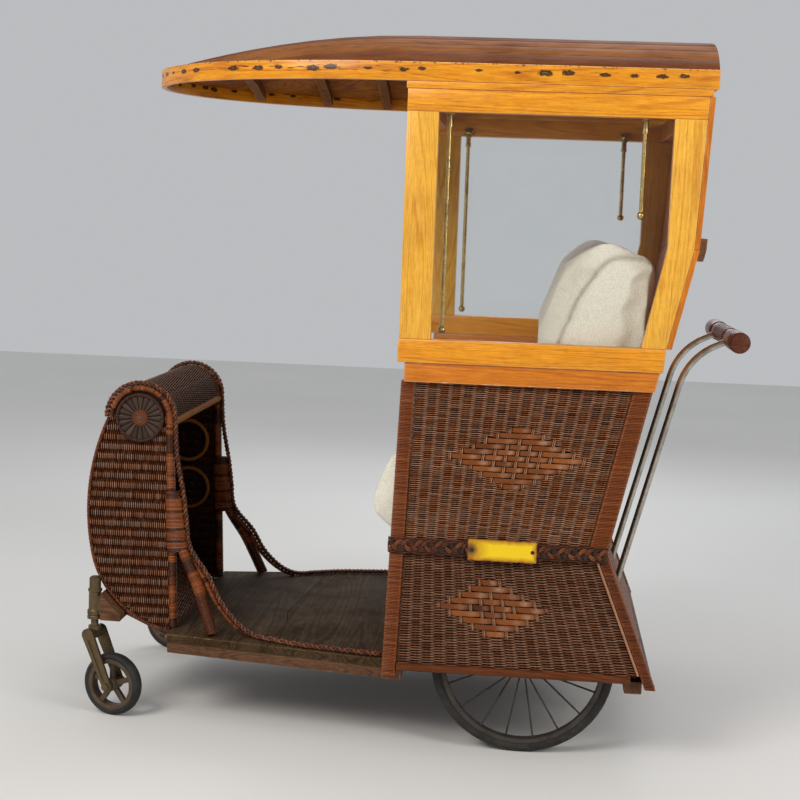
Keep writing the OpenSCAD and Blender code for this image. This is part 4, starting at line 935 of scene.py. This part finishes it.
def dashSide(bm):
    # sides: stakes lie level and fine reeds run up and down between them
    d = dashSpec
    edge = dashOutline(9)
    turnAt = int(np.argmin(edge[:, 0]))
    paths, tones, radii = [], [], []
    step, low = 23.5, 194.2
    ks = np.arange(26)
    spots = np.concatenate([low + step * (k + np.array([-0.13, 0.13, 0.3, 0.7])) for k in ks])
    crest = np.tile([False, False, True, True], len(ks))
    for i, x in enumerate(np.arange(-775, -566, 2.4)):
        bottom = np.interp(x, edge[turnAt:, 0], edge[turnAt:, 1])
        top = np.interp(x, edge[:turnAt + 1, 0][::-1], edge[:turnAt + 1, 1][::-1]) if x < edge[0, 0] else d["rollZ"] + 22
        front = np.repeat(np.where((ks + i) % 2 == 0, 1.0, -1.0), 4)
        keep = (spots > bottom) & (spots < top) & (x < dashPostX(spots) - d["rimR"] + 3)
        if keep.sum() < 3:
            continue
        depth = (np.tile([-1.3, 1.3, 3.7, 3.7], len(ks)) * front)[keep]
        paths.append(np.c_[x + 0.15 * dice.standard_normal(keep.sum()), -(d["half"] + depth), spots[keep]])
        # painted light: a reed crossing in front of a stake is pale, one behind a stake is in painted shade
        shade = np.where(crest, np.where(front > 0, 0.66, 0.14), 0.28)[keep]
        shade = shade + 0.05 * dice.standard_normal() + 0.06 * dice.standard_normal(40)[np.nonzero(keep)[0] // 4]
        tones.append(np.clip(shade, 0.02, 1))
        radii.append(1.3)
    for k in ks:
        z = low + step * (k + 0.5)
        if not edge[-1, 1] + 12 < z < d["rollZ"] + 16:
            continue
        half = edge[:turnAt + 1] if z > edge[turnAt, 1] else edge[turnAt:]
        x0, x1 = np.interp(z, half[::-1, 1], half[::-1, 0]), dashPostX(z) - 3
        for lift in (-2.1, 2.1):
            paths.append(np.c_[np.linspace(x0 - 3, x1, 10), np.full(10, -d["half"]), np.full(10, z + lift)])
            tones.append(0.2 + 0.08 * dice.random())
            radii.append(2.1)
    mesh = reedMesh("dash_side_weaves", mirrored(paths), radii * 2, tones * 2, lift=0.3)
    addPiece("dash_side_weaves", mesh, dashReed, ["dash_sides"], "chair")
    for sy in (-1, 1):  # dark sheet of painted shade at the middle of each side
        levels = np.linspace(edge[-1, 1] + 2, d["rollZ"] + 18, 60)
        left = np.where(levels > edge[turnAt, 1], np.interp(levels, edge[:turnAt + 1, 1][::-1], edge[:turnAt + 1, 0][::-1]),
                        np.interp(levels, edge[turnAt:, 1][::-1], edge[turnAt:, 0][::-1]))
        got = bmesh.ops.create_grid(bm, x_segments=1, y_segments=59, size=0.5)["verts"]
        for vert in got:
            k = int(round((vert.co.y + 0.5) * 59))
            vert.co = (left[k] if vert.co.x < 0 else dashPostX(levels[k]) - 3, sy * (d["half"] - 0.4), levels[k])


def makeDash():
    d = dashSpec
    backs = bmesh.new()
    place, long = sheetOver(dashOutline(6)[::-1], d["half"] + 4)
    sheet = (*wovenPaths(place, d["stakes"], int(long / d["rowStep"]), d["swing"], bends=30), d["stakes"])
    weavePiece("dash_front_weave", [sheet], d["reed"], d["stake"], dashReed, ["dash_front"])
    backingSheet(backs, place, 0, 2, 50)
    t = np.radians(np.linspace(191, -4, 42))
    roll = np.c_[d["rollX"] + 75 * np.cos(t), d["rollZ"] + 75 * np.sin(t)]
    place, long = sheetOver(roll, d["half"] - 13)
    sheet = (*wovenPaths(place, 22, int(long / 2.6), 2.8, False, bends=18), 22)
    weavePiece("dash_roll_weave", [sheet], 1.35, 2.0, rollReed, ["dash_roll"])
    backingSheet(backs, place, 0, 2, 30)
    dashSide(backs)
    addPiece("dash_shade_sheets", closeMesh("dash_shade_sheets", backs), darkReed, (), "chair")
    # edge pole along the sides' curve
    rim = dashOutline(5)
    pole = Line(np.c_[rim[:, 0], np.full(len(rim), -d["half"] - 3.0), rim[:, 1]], smooth=False)
    path, s, turns = windPath(pole, 3.0, 3.0, 3.2, 6)
    mesh = reedMesh("dash_edge_poles", mirrored([path, pole.pts]), [1.6, 2.6] * 2, [windTones(turns, s, base=0.35), 0.4] * 2)
    addPiece("dash_edge_poles", mesh, canewrap, (), "chair")


makeDash()
print("dash weave made")

# wrapped rims, braces and lashings of the dash, with dark and red bands
rimBands = [(0, 22, 0.1), (60, 63, 0.12), (102, 124, 0.28), (124, 160, 0.1), (176, 181, 0.12), (289, 307, 0.12), (324, 342, 0.08),
            (373, 377, 0.12), (427, 471, 0.1), (484, 490, 0.1), (560, 574, 0.12), (640, 652, 0.14), (715, 735, 0.1)]


def makeDashPoles():
    d = dashSpec
    t = np.radians(np.arange(0, 181, 15))
    arch = np.c_[d["rollX"] + d["rollR"] * np.cos(t), np.full(13, -d["half"]), d["rollZ"] + d["rollR"] * np.sin(t)]
    post = [(d["footX"], -d["half"], 215), (dashPostX(666), -d["half"], 666)]
    rim = Line(np.vstack([post, arch]))
    size = lambda s: np.interp(s, [0, 480, 570, rim.long], [9.4, 9.4, 6.8, 6.4])  # slimmer over the roll
    path, s, turns = windPath(rim, size, size, 3.2, 8)
    paths, tones, radii = [path], [windTones(turns, s, rimBands, 0.55)], [1.7]
    paths.append(rim.at(np.linspace(0, rim.long, 90)))
    tones.append(0.3)
    radii.append(size(np.linspace(0, rim.long, 90)) - 0.4)
    mesh = reedMesh("dash_rim_wraps", mirrored(paths), radii * 2, tones * 2, sides=4, capped=True, lift=0.12)
    addPiece("dash_rim_wraps", mesh, canewrap, ["dash_rims"], "chair")
    z = d["footZ"]
    # the plait goes over the roll, behind post and brace and along the platform's edge
    out = 13.2
    footHalf = lambda x: 350 + 105 * (x + 565.6) / 532
    reach = d["rollR"] + out
    over = [(d["rollX"] + reach * math.cos(a), -d["half"], d["rollZ"] + reach * math.sin(a)) for a in t[::-1]]
    down = [(dashPostX(640) + out + 2.6, -d["half"], 640)] + [
        (dashPostX(z + h) + d["rimR"] + o + r + 6.5, -d["half"], z + h) for h, o, r in ((330, 6.6, 6), (270, 9.8, 9), (200, 14, 13))]
    sweep = [(d["footX"] + a, -(footHalf(d["footX"] + a) - c), z + b)
             for a, b, c in ((86, 136, 68), (116, 82, 66), (148, 44, 62), (180, 19, 56), (214, 7, 46))]
    flat = [(x, -(footHalf(x) - c), z + 7) for x, c in ((-299.6, 30), (-219.8, 14), (-38.9, 14))]
    plait = Line(over + down + sweep + flat)
    # braces from the posts down to their feet
    brace = [(dashPostX(z + 330) + 17.6, -d["half"], z + 330), (dashPostX(z + 270) + 20.8, -d["half"], z + 270),
             (dashPostX(z + 200) + 25, -d["half"], z + 200), (d["footX"] + 62, -d["half"] - 28, z + 118),
             (d["footX"] + 87, -d["half"] - 48, z + 60), (d["footX"] + 110, -d["half"] - 62, z + 5)]
    thick = np.array([6, 9, 14, 14.8, 14.8, 14.8])
    pole = Line(brace)
    stops = np.linspace(0, pole.long, 6)
    reach = np.interp(np.linspace(0, pole.long, 200), stops, thick)
    size = lambda s: np.interp(s, np.linspace(0, pole.long, 200), reach) - 1.6
    path, s, turns = windPath(pole, size, size, 3.2, 10)
    shade = windTones(turns, s, [(0, 60, 0.2), (118, 126, 0.12), (168, 200, 0.1), (pole.long - 96, pole.long, 0.18)], 0.5)
    paths, tones, radii = [path], [shade], [1.7]
    along = np.linspace(0, pole.long, 40)
    paths.append(pole.at(along))
    tones.append(0.3)
    radii.append(size(along) - 0.4)
    # wrapped rod under the plait, from the lashing down to the boards
    start = int(np.argmax((plait.pts[:, 0] > d["footX"]) & (plait.pts[:, 2] < z + 196)))
    stop = int(np.argmax(plait.pts[:, 0] > d["footX"] + 204))
    under = plait.pts[start:stop:4]
    count = len(plait.pts)
    _, _, up = plait.frame(np.interp(np.arange(start, stop, 4), np.arange(count), np.linspace(0, plait.long, count)))
    up = up * np.sign(up[:, 2:3])
    slim = np.linspace(9.5, 3.6, len(under))
    rod = Line(under - up * (slim + 5.0)[:, None], smooth=False)
    girth = lambda s: np.interp(s, np.linspace(0, rod.long, len(slim)), slim) - 1.5
    path, s, turns = windPath(rod, girth, girth, 3.2, 8)
    paths.append(path)
    tones.append(windTones(turns, s, [(0, 24, 0.12), (78, 92, 0.1), (150, 156, 0.1), (rod.long - 40, rod.long, 0.12)], 0.52))
    radii.append(1.6)
    paths.append(rod.at(np.linspace(0, rod.long, 40)))
    tones.append(0.25)
    radii.append(girth(np.linspace(0, rod.long, 40)) - 0.3)
    # lashing that holds post and brace together
    levels = np.linspace(z + 188, z + 336, 24)
    left = dashPostX(levels) - d["rimR"] - 1
    right = dashPostX(levels) + np.interp(levels, [z + 188, z + 200, z + 270, z + 330, z + 336], [42, 39, 30.5, 24.5, 23.5])
    lash = Line(np.c_[(left + right) / 2, np.full(24, -d["half"]), levels], smooth=False)
    half = (right - left) / 2
    wide = lambda s: np.interp(s, np.linspace(0, lash.long, 24), half)
    path, s, turns = windPath(lash, wide, 13.6, 3.3, 14, 3.0)
    paths.append(path)
    tones.append(windTones(turns, s, [(0, 10, 0.1), (24, 30, 0.12), (52, 60, 0.08), (96, 104, 0.1), (132, 148, 0.08)], 0.52))
    radii.append(1.7)
    mesh = reedMesh("dash_brace_wraps", mirrored(paths), radii * 2, tones * 2, sides=4, capped=True, lift=0.12)
    addPiece("dash_brace_wraps", mesh, canewrap, ["dash_braces"], "chair")
    paths, tones = plaitPaths(plait, dashPlait, step=2.8)
    radii = [dashPlait["reed"]] * len(paths)
    mesh = reedMesh("dash_plaits", mirrored(paths), radii * 2, tones * 2, sides=4, lift=0.12)
    addPiece("dash_plaits", mesh, braidReed, ["dash_braids"], "chair")
    # level rattan pole between the posts, with its knuckles
    y = np.linspace(-271, 271, 61)
    bump = 10 + 1.2 * np.exp(-((y + 90) / 6) ** 2) + 1.2 * np.exp(-((y - 140) / 6) ** 2) - 0.5
    pole = np.c_[np.full(61, dashPostX(726) + 3), y, np.full(61, 715.7)]
    mesh = reedMesh("dash_cross_pole", [pole], [bump], [0.45 - 0.25 * (bump > 10.2)], sides=12, capped=True)
    addPiece("dash_cross_pole", mesh, rattan, ["dash_rail"], "chair")
    # hoops inside the sides
    paths = []
    for k in (0.254, 0.512):
        hz = d["rollZ"] - k * 512
        turn = np.linspace(0, 2 * math.pi, 49)
        paths.append(np.c_[dashPostX(hz) - 82.4 + 54.4 * np.cos(turn), np.full(49, 12 - d["half"]), hz + 54.4 * np.sin(turn)])
    mesh = reedMesh("dash_hoop_poles", mirrored(paths), 5.4, [0.35, 0.45, 0.4, 0.3], sides=8)
    addPiece("dash_hoop_poles", mesh, rattan, ["dash_hoops"], "chair")


makeDashPoles()

# rosettes at the ends of the roll
rosette = {"petals": 20, "inner": 15, "outer": 53, "rope": 55.5}


def makeRosettes():
    d = dashSpec
    bm = bmesh.new()
    tone = bm.verts.layers.float.new("tone")
    for k in range(rosette["petals"]):
        got = bmesh.ops.create_grid(bm, x_segments=5, y_segments=4, size=0.5)["verts"]
        shade = float(np.clip(0.5 + 0.09 * dice.standard_normal(), 0.05, 0.95))
        for vert in got:
            r = rosette["inner"] + (rosette["outer"] - rosette["inner"]) * (vert.co.x + 0.5)
            wide = 2 * math.pi * r / rosette["petals"] * 0.84
            high = 5.0 - 11 * vert.co.y ** 2 - 3.5 * abs(vert.co.x) ** 3
            turn = Matrix.Rotation(2 * math.pi * k / rosette["petals"], 3, "Y")
            vert.co = turn @ Vector((r, -d["half"] - 6 - high, vert.co.y * wide))
            vert[tone] = shade
    for radius, depth in ((57, 6.6), (67, -1.0)):  # dark discs of painted shade: behind the petals, and across the end of the roll
        disc = bmesh.ops.create_circle(bm, cap_ends=True, segments=40, radius=radius)["verts"]
        bmesh.ops.rotate(bm, verts=disc, matrix=Matrix.Rotation(math.pi / 2, 3, "X"))
        bmesh.ops.translate(bm, verts=disc, vec=(0, -d["half"] - depth, 0))
        for vert in disc:
            vert[tone] = 0.03
    knob = bmesh.ops.create_uvsphere(bm, u_segments=14, v_segments=8, radius=6.5)["verts"]
    bmesh.ops.scale(bm, verts=knob, vec=(1, 0.6, 1))
    bmesh.ops.translate(bm, verts=knob, vec=(0, -d["half"] - 11, 0))
    for vert in knob:
        vert[tone] = 0.85
    bmesh.ops.translate(bm, verts=bm.verts, vec=(d["rollX"], 0, d["rollZ"]))
    bmesh.ops.mirror(bm, geom=bm.verts[:] + bm.edges[:] + bm.faces[:], axis="Y", merge_dist=-1)
    bmesh.ops.recalc_face_normals(bm, faces=bm.faces)
    mesh = closeMesh("rosette_petals", bm, 60, outward=False)
    addPiece("rosette_petals", mesh, petalReed, ["dash_rosettes"], "chair")
    paths, tones, radii = [], [], []
    t = np.linspace(0, 2 * math.pi, 121)
    for k in range(3):
        twist = 22 * t + k * 2 * math.pi / 3
        r = rosette["rope"] + 2.6 * np.cos(twist)
        paths.append(np.c_[d["rollX"] + r * np.cos(t), -(d["half"] + 10 + 2.6 * np.sin(twist)), d["rollZ"] + r * np.sin(t)])
        tones.append(0.16 + 0.06 * k)
        radii.append(2.2)
    for r, shade in ((8, 0.7), (11.5, 0.6), (15, 0.7), (18.5, 0.55)):
        wave = 1.2 * np.cos(20 * t + r)
        paths.append(np.c_[d["rollX"] + r * np.cos(t), -(d["half"] + 10 + wave), d["rollZ"] + r * np.sin(t)])
        tones.append(shade)
        radii.append(1.8)
    mesh = reedMesh("rosette_ropes", mirrored(paths), radii * 2, tones * 2, sides=4)
    addPiece("rosette_ropes", mesh, braidReed, (), "chair")


makeRosettes()
print("dash poles and rosettes made")

# edge ribs of the skirts
ribs = {"rear": 29, "radius": 2.8}


def makeRibs():
    z = np.linspace(219, 478, 60)
    paths = [np.c_[rearX(z) - ribs["rear"], np.full(60, -488.5), z]]
    mesh = reedMesh("skirt_ribs", mirrored(paths), ribs["radius"], [0.62] * 2, sides=8)
    addPiece("skirt_ribs", mesh, reedFinish, (), "chair")


makeRibs()

# cab and platform joinery with eased edges
joinery = [
    ("ledges", amberX, 3.0, "amber_wood"), ("sill_rails", orangeX, 3.5, "gold_wood"),
    ("window_stiles", honeyZ, 2.0, "gold_wood"), ("top_rails", orangeX, 2.0, "gold_wood"),
    ("cross_heads", amberY, 2.0, "amber_wood"), ("cornices", orangeX, 2.5, "amber_wood"),
    ("rear_boards", amberZ, 1.2, "amber_wood"), ("rear_batten", umberY, 2.0, "dark_wood"),
    ("roof_deck", roofWood, 1.6, "roof_wood"), ("roof_bows", bowWood, 1.5, "amber_wood"),
    ("roof_end", orangeY, 1.5, "gold_wood"), ("seat_deck", umberX, 2.0, "dark_wood"),
    ("foot_board_front", deckWood, 2.0, "grey_wood"), ("foot_board_rear", deckWood, 2.0, "grey_wood"),
    ("platform_frame", frameWood, 2.0, "grey_wood"), ("chassis_rails", umberX, 3.0, "dark_wood"),
    ("cross_sills", umberY, 3.0, "dark_wood"), ("front_bolster", frameWood, 4.0, "grey_wood"),
    ("bottom_rails", railWood, 0.0, "dark_wood"), ("push_handle", gripWood, 0.6, "grip_wood")]


# plan of the roof's edge in metres: where the nose starts, its half width and reach, and the board's length round a quarter
noseBend = {"start": -0.018, "half": 0.505, "reach": 0.658, "quarter": 0.92}


def makeJoinery():
    for node, material, ease, finish in joinery:
        dressNode(node, material, ease)
    # edge board: its grain follows the bend, so the pattern runs on a flat length
    bend = noseBend
    bm = easedCopy("roof_fascia", 2.0)
    flat = bm.loops.layers.uv.new("flat")
    for face in bm.faces:
        for loop in face.loops:
            x, y, z = loop.vert.co
            ahead = bend["start"] - x
            if ahead < 0:
                run = math.copysign(bend["quarter"] - ahead, y) if abs(y) > 0.3 else y
            else:
                run = math.atan2(y / bend["half"], ahead / bend["reach"]) / (math.pi / 2) * bend["quarter"]
            loop[flat].uv = (run, z)
    mesh = closeMesh("roof_fascia_made", bm, scale=1, outward=False)
    addPiece("roof_fascia_made", mesh, fasciaWood, ["roof_fascia"], "chair")


makeJoinery()
print("joinery made")

# ironwork, rods and wheels
ironwork = [
    ("shade_rods", brass, "chair", "brass"), ("caster_sockets", bronze, "chair", "bronze_iron"),
    ("rear_axle", darkIron, "chair", "dark_iron"), ("axle_blocks", darkIron, "chair", "dark_iron"),
    ("push_rods", nickel, "chair", "nickel")]
for hand in ("left", "right"):
    ironwork += [
        ("caster_fork_" + hand, bronze, "caster_" + hand, "bronze_iron"),
        ("caster_wheel_" + hand, wheelIron, "caster_wheel_body_" + hand, "bronze_iron"),
        ("caster_tyre_" + hand, rubber, "caster_wheel_body_" + hand, "grey_rubber"),
        ("rear_wheel_" + hand, darkIron, "rear_wheel_body_" + hand, "dark_iron"),
        ("rear_tyre_" + hand, rubber, "rear_wheel_body_" + hand, "grey_rubber")]
for node, material, body, finish in ironwork:
    dressNode(node, material, 0.8 if "caster" in node and "tyre" not in node else 0.0, body, flat=False, sharp=40)
print("ironwork made")


# brackets and sleeves at the heads of the shade rods
def makeRodTrim():
    spots = np.array([v.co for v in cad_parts["shade_rods"].data.vertices]) / mm
    top = spots[:, 2].max() - 9
    bm = bmesh.new()
    for sx in (-1, 1):
        for sy in (-1, 1):
            mine = spots[(np.sign(spots[:, 0] - 250) == sx) & (np.sign(spots[:, 1]) == sy) & (spots[:, 2] < 1300)]
            x, y = (mine[:, 0].min() + mine[:, 0].max()) / 2, (mine[:, 1].min() + mine[:, 1].max()) / 2
            for r0, r1, long, z in ((7.5, 6.2, 26, top - 24), (8.6, 8.6, 4, top - 11), (8.2, 8.2, 3.5, top - 38)):
                got = bmesh.ops.create_cone(bm, cap_ends=True, segments=20, radius1=r0, radius2=r1, depth=long)["verts"]
                bmesh.ops.translate(bm, verts=got, vec=(x, y, z))
            got = bmesh.ops.create_cone(bm, cap_ends=True, segments=20, radius1=15, radius2=13, depth=3)["verts"]
            bmesh.ops.rotate(bm, verts=got, matrix=Matrix.Rotation(math.pi / 2, 3, "X"))
            bmesh.ops.translate(bm, verts=got, vec=(x, y + sy * 12.4, top))
            for side in (-1, 1):
                got = bmesh.ops.create_uvsphere(bm, u_segments=12, v_segments=8, radius=4.2)["verts"]
                bmesh.ops.translate(bm, verts=got, vec=(x + side * 11, y + sy * 6, top + 5))
                got = bmesh.ops.create_cone(bm, cap_ends=True, segments=10, radius1=2.2, radius2=2.2, depth=14)["verts"]
                bmesh.ops.rotate(bm, verts=got, matrix=Matrix.Rotation(math.pi / 2, 3, "Y"))
                bmesh.ops.translate(bm, verts=got, vec=(x + side * 5, y + sy * 6, top + 3))
    addPiece("rod_fittings", closeMesh("rod_fittings", bm), brass, (), "chair")


makeRodTrim()

# window glass
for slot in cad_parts["side_glass"].material_slots:
    slot.material = glass

# enamel plate with two screws
plate = {"middle": (232, 492), "size": (156, 50), "out": -503.4}


def plateFinish():
    mat, tree, shader = newMaterial("yellowEnamel", Coat_Weight=0.12, Coat_Roughness=0.15, Specular_IOR_Level=0.3)
    at = coordsFor(tree, False)
    parts = add(tree, "SeparateXYZ", {0: at})
    midX, midZ = (v * mm for v in plate["middle"])
    halfX, halfZ = (v * mm / 2 for v in plate["size"])
    toEnd = minus(tree, halfX, math2(tree, "ABSOLUTE", minus(tree, parts.outputs["X"], midX)))
    toTop = minus(tree, halfZ, math2(tree, "ABSOLUTE", minus(tree, parts.outputs["Z"], midZ)))
    near = math2(tree, "MINIMUM", toEnd, toTop)
    dirt = useGroup(tree, dirtGroup, {"Vector": at, "Scale": 75.0})
    bite = plus(tree, near, times(tree, minus(tree, dirt.outputs["Dirt"], 0.35), -0.0028))
    rust = span(tree, bite, 0.0028, 0.0)
    fromLeft = minus(tree, parts.outputs["X"], midX - halfX)
    halo = math2(tree, "MAXIMUM", span(tree, bite, 0.013, 0.001),
                 times(tree, span(tree, fromLeft, 0.05, 0.01), span(tree, dirt.outputs["Dirt"], 0, 1, 0.75, 1.0)))
    colour = blendColour(tree, "MIX", times(tree, dirt.outputs["Rub"], 0.6), (0.86, 0.57, 0.004), (0.76, 0.36, 0.006))
    colour = blendColour(tree, "MIX", times(tree, halo, 0.92), colour, (0.27, 0.055, 0.004))
    apart = add(tree, "VectorMath", {0: at, 1: (0.162, -0.503, midZ)}, operation="DISTANCE").outputs["Value"]
    apart = plus(tree, apart, times(tree, minus(tree, dirt.outputs["Rub"], 0.5), -0.006))
    rust = math2(tree, "MAXIMUM", rust, times(tree, span(tree, apart, 0.02, 0.008), 0.92))
    colour = blendColour(tree, "MIX", rust, colour, (0.06, 0.022, 0.01))
    tree.links.new(colour, shader.inputs["Base Color"])
    tree.links.new(span(tree, rust, 0, 1, 0.25, 0.75), shader.inputs["Roughness"])
    setBump(tree, shader, minus(tree, times(tree, dirt.outputs["Fine"], 0.2), rust), 0.4, 0.0006)
    return mat


def makePlate():
    bm = bmesh.new()
    face = bmesh.ops.create_grid(bm, x_segments=1, y_segments=1, size=0.5)["verts"]
    bmesh.ops.scale(bm, verts=face, vec=(plate["size"][0], plate["size"][1], 1))
    bmesh.ops.bevel(bm, geom=bm.verts[:], offset=5, affect="VERTICES", segments=4, profile=0.5, material=-1)
    bmesh.ops.inset_region(bm, faces=bm.faces[:], thickness=3, depth=0.7)
    bmesh.ops.solidify(bm, geom=bm.faces[:], thickness=1.2)
    bmesh.ops.rotate(bm, verts=bm.verts, matrix=Matrix.Rotation(math.pi / 2, 3, "X"))
    bmesh.ops.translate(bm, verts=bm.verts, vec=(plate["middle"][0], plate["out"] - 0.4, plate["middle"][1]))
    addPiece("enamel_plate", closeMesh("enamel_plate", bm, 30), plateFinish(), ["name_plate"], "chair")
    bm = bmesh.new()
    for dx in (-68, 68):
        dome = bmesh.ops.create_uvsphere(bm, u_segments=16, v_segments=8, radius=4.6)["verts"]
        bmesh.ops.scale(bm, verts=dome, vec=(1, 0.35, 1))
        bmesh.ops.translate(bm, verts=dome, vec=(plate["middle"][0] + dx, plate["out"] - 1.0, plate["middle"][1]))
    addPiece("plate_screws", closeMesh("plate_screws", bm), screwIron, (), "chair")


makePlate()

# cushions: the CAD solids shrunk, blown up as cloth and capped; room is how far past the solid they may swell, in metres
room = {"low": (0.006, 0.004, 0.02), "high": (0.004, 0.004, 0.006)}
cushions = {"seat_cushion": {"shrink": 9, "cap": 22, "voxel": 7},
            "back_cushion": {"shrink": 9, "cap": 22, "voxel": 6.6,
                             "seam": [(322, 920), (331, 959), (349, 1034), (371, 1079), (401, 1121), (433, 1149), (457, 1161),
                                      (492, 1164), (529, 1159), (575, 1142)]}}


def creaseEnds(rest, result, line):
    # a groove on each end face inside a border band, and a panel that swells behind it; the crease it returns marks the
    # groove for painted shade
    seam = Line(np.insert(np.array(line, float), 1, 0, axis=1), step=4.0).pts * mm
    run = np.gradient(seam, axis=0)
    end = np.abs(rest[:, 1]).max()
    crease = np.zeros(len(rest))
    for i in np.nonzero(np.abs(rest[:, 1]) > end - 0.03)[0]:
        away = rest[i, [0, 2]] - seam[:, [0, 2]]
        near = int(np.argmin((away ** 2).sum(1)))
        inside = (run[near, 2] * away[near, 0] - run[near, 0] * away[near, 1]) / np.linalg.norm(run[near]) / mm
        crease[i] = math.exp(-(np.linalg.norm(away[near]) / mm / 6) ** 2)
        swell = 8 * min(1, max(0, inside / 22))
        result[i, 1] += math.copysign((swell - 10 * crease[i]) * mm, rest[i, 1])
    return crease


def makeCushion(node, spec):
    bm = bmesh.new()
    bm.from_mesh(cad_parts[node].data)
    bmesh.ops.remove_doubles(bm, verts=bm.verts, dist=2e-5)
    low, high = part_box(node)
    mid = (low + high) / 2
    for vert in bm.verts:
        for i in range(3):
            half = (high[i] - low[i]) / 2
            vert.co[i] = mid[i] + (vert.co[i] - mid[i]) * (half - spec["shrink"] * mm) / half
    mesh = bpy.data.meshes.new(node + "_pad")
    bm.to_mesh(mesh)
    bm.free()
    ob = addPiece(node + "_pad", mesh, boucle, [node], "chair")
    remesh = ob.modifiers.new("remesh", "REMESH")
    remesh.mode = "VOXEL"
    remesh.voxel_size = spec["voxel"] * mm
    solid = bpy.data.meshes.new_from_object(ob.evaluated_get(bpy.context.evaluated_depsgraph_get()))
    ob.modifiers.clear()
    ob.data = solid
    rest = np.zeros(len(solid.vertices) * 3)
    solid.vertices.foreach_get("co", rest)
    rest = rest.reshape(-1, 3)
    cloth = ob.modifiers.new("cloth", "CLOTH")
    cloth.settings.quality = 4
    cloth.settings.use_pressure = True
    cloth.settings.uniform_pressure_force = 4
    cloth.settings.tension_stiffness = cloth.settings.compression_stiffness = 12
    cloth.settings.effector_weights.gravity = 0
    for step in range(1, 21):
        scene.frame_set(step)
    done = bpy.data.meshes.new_from_object(ob.evaluated_get(bpy.context.evaluated_depsgraph_get()))
    moved = np.zeros(len(done.vertices) * 3)
    done.vertices.foreach_get("co", moved)
    moved = moved.reshape(-1, 3)
    ob.modifiers.clear()
    scene.frame_set(1)
    shift = moved - rest
    far = np.linalg.norm(shift, axis=1)
    shift *= np.minimum(1, spec["cap"] * mm / np.maximum(far, 1e-9))[:, None]
    result = rest + shift
    if "seam" in spec:
        # the back keeps the solid's own shape where it lies against the boards
        full = np.array(mid) + (rest - np.array(mid)) * [(h - l) / (h - l - 2 * spec["shrink"] * mm) for l, h in zip(low, high)]
        levels = np.linspace(low[2] + 0.08, low[2] + 0.55 * (high[2] - low[2]), 12)
        rear = np.polyfit(levels, [rest[np.abs(rest[:, 2] - z) < 0.008, 0].max() for z in levels], 1)
        hold = np.clip(1 - (np.polyval(rear, rest[:, 2]) - rest[:, 0]) / 0.075, 0, 1)[:, None] ** 1.5
        result = result * (1 - hold) + full * hold
        crease = creaseEnds(rest, result, spec["seam"])
        solid.attributes.new("crease", "FLOAT", "POINT").data.foreach_set("value", crease.astype(np.float32))
    else:  # the front of the seat rolls down over the edge
        roll = np.clip((low[0] + 0.07 - rest[:, 0]) / 0.07, 0, 1)
        result[:, 2] -= 0.02 * roll * np.clip((mid[2] - rest[:, 2]) / (high[2] - low[2]) * 2 + 0.4, 0, 1)
    result = np.clip(result, np.array(low) - room["low"], np.array(high) + room["high"])
    solid.vertices.foreach_set("co", result.ravel())
    solid.update()
    solid.materials.clear()
    solid.materials.append(boucle)
    solid.polygons.foreach_set("use_smooth", [True] * len(solid.polygons))


for node, spec in cushions.items():
    makeCushion(node, spec)
print("cushions made")


# floor and light
studio = {"world": 0.55, "lights": [
    ("keyLight", (-2.2, -3.2, 3.2), (0, 0, 0.8), 1.8, 105, (1, 0.96, 0.9)),
    ("sideLight", (3.2, -2.4, 2.2), (0.2, 0, 0.9), 1.6, 50, (1, 0.97, 0.93)),
    ("backLight", (0.5, 3.4, 3.0), (0, 0, 1.0), 2.2, 40, (0.93, 0.96, 1))]}


def makeStudio():
    bm = bmesh.new()
    bmesh.ops.create_grid(bm, x_segments=1, y_segments=1, size=9)
    mesh = bpy.data.meshes.new("floor")
    bm.to_mesh(mesh)
    bm.free()
    floor = bpy.data.objects.new("floor", mesh)
    scene.collection.objects.link(floor)
    mat, tree, shader = newMaterial("paleFloor", Roughness=0.75, Specular_IOR_Level=0.2)
    cloud = add(tree, "TexNoise", {"Vector": coordsFor(tree, False), "Scale": 0.7})
    colour = ramp(tree, cloud.outputs["Fac"], [(0.3, (0.74, 0.73, 0.71)), (0.7, (0.78, 0.77, 0.75))])
    tree.links.new(colour, shader.inputs["Base Color"])
    mesh.materials.append(mat)
    world = bpy.data.worlds.new("studio")
    scene.world = world
    world.use_nodes = True
    tree = world.node_tree
    back = tree.nodes["Background"]
    back.inputs["Color"].default_value = (0.9, 0.92, 0.95, 1)
    back.inputs["Strength"].default_value = studio["world"]
    for name, place, aim, size, power, tint in studio["lights"]:
        lamp = bpy.data.lights.new(name, "AREA")
        lamp.size = size
        lamp.energy = power
        lamp.color = tint
        ob = bpy.data.objects.new(name, lamp)
        ob.location = place
        ob.rotation_euler = (Vector(aim) - Vector(place)).to_track_quat("-Z", "Y").to_euler()
        scene.collection.objects.link(ob)
    scene.view_settings.view_transform = "Standard"


makeStudio()
print("studio made")
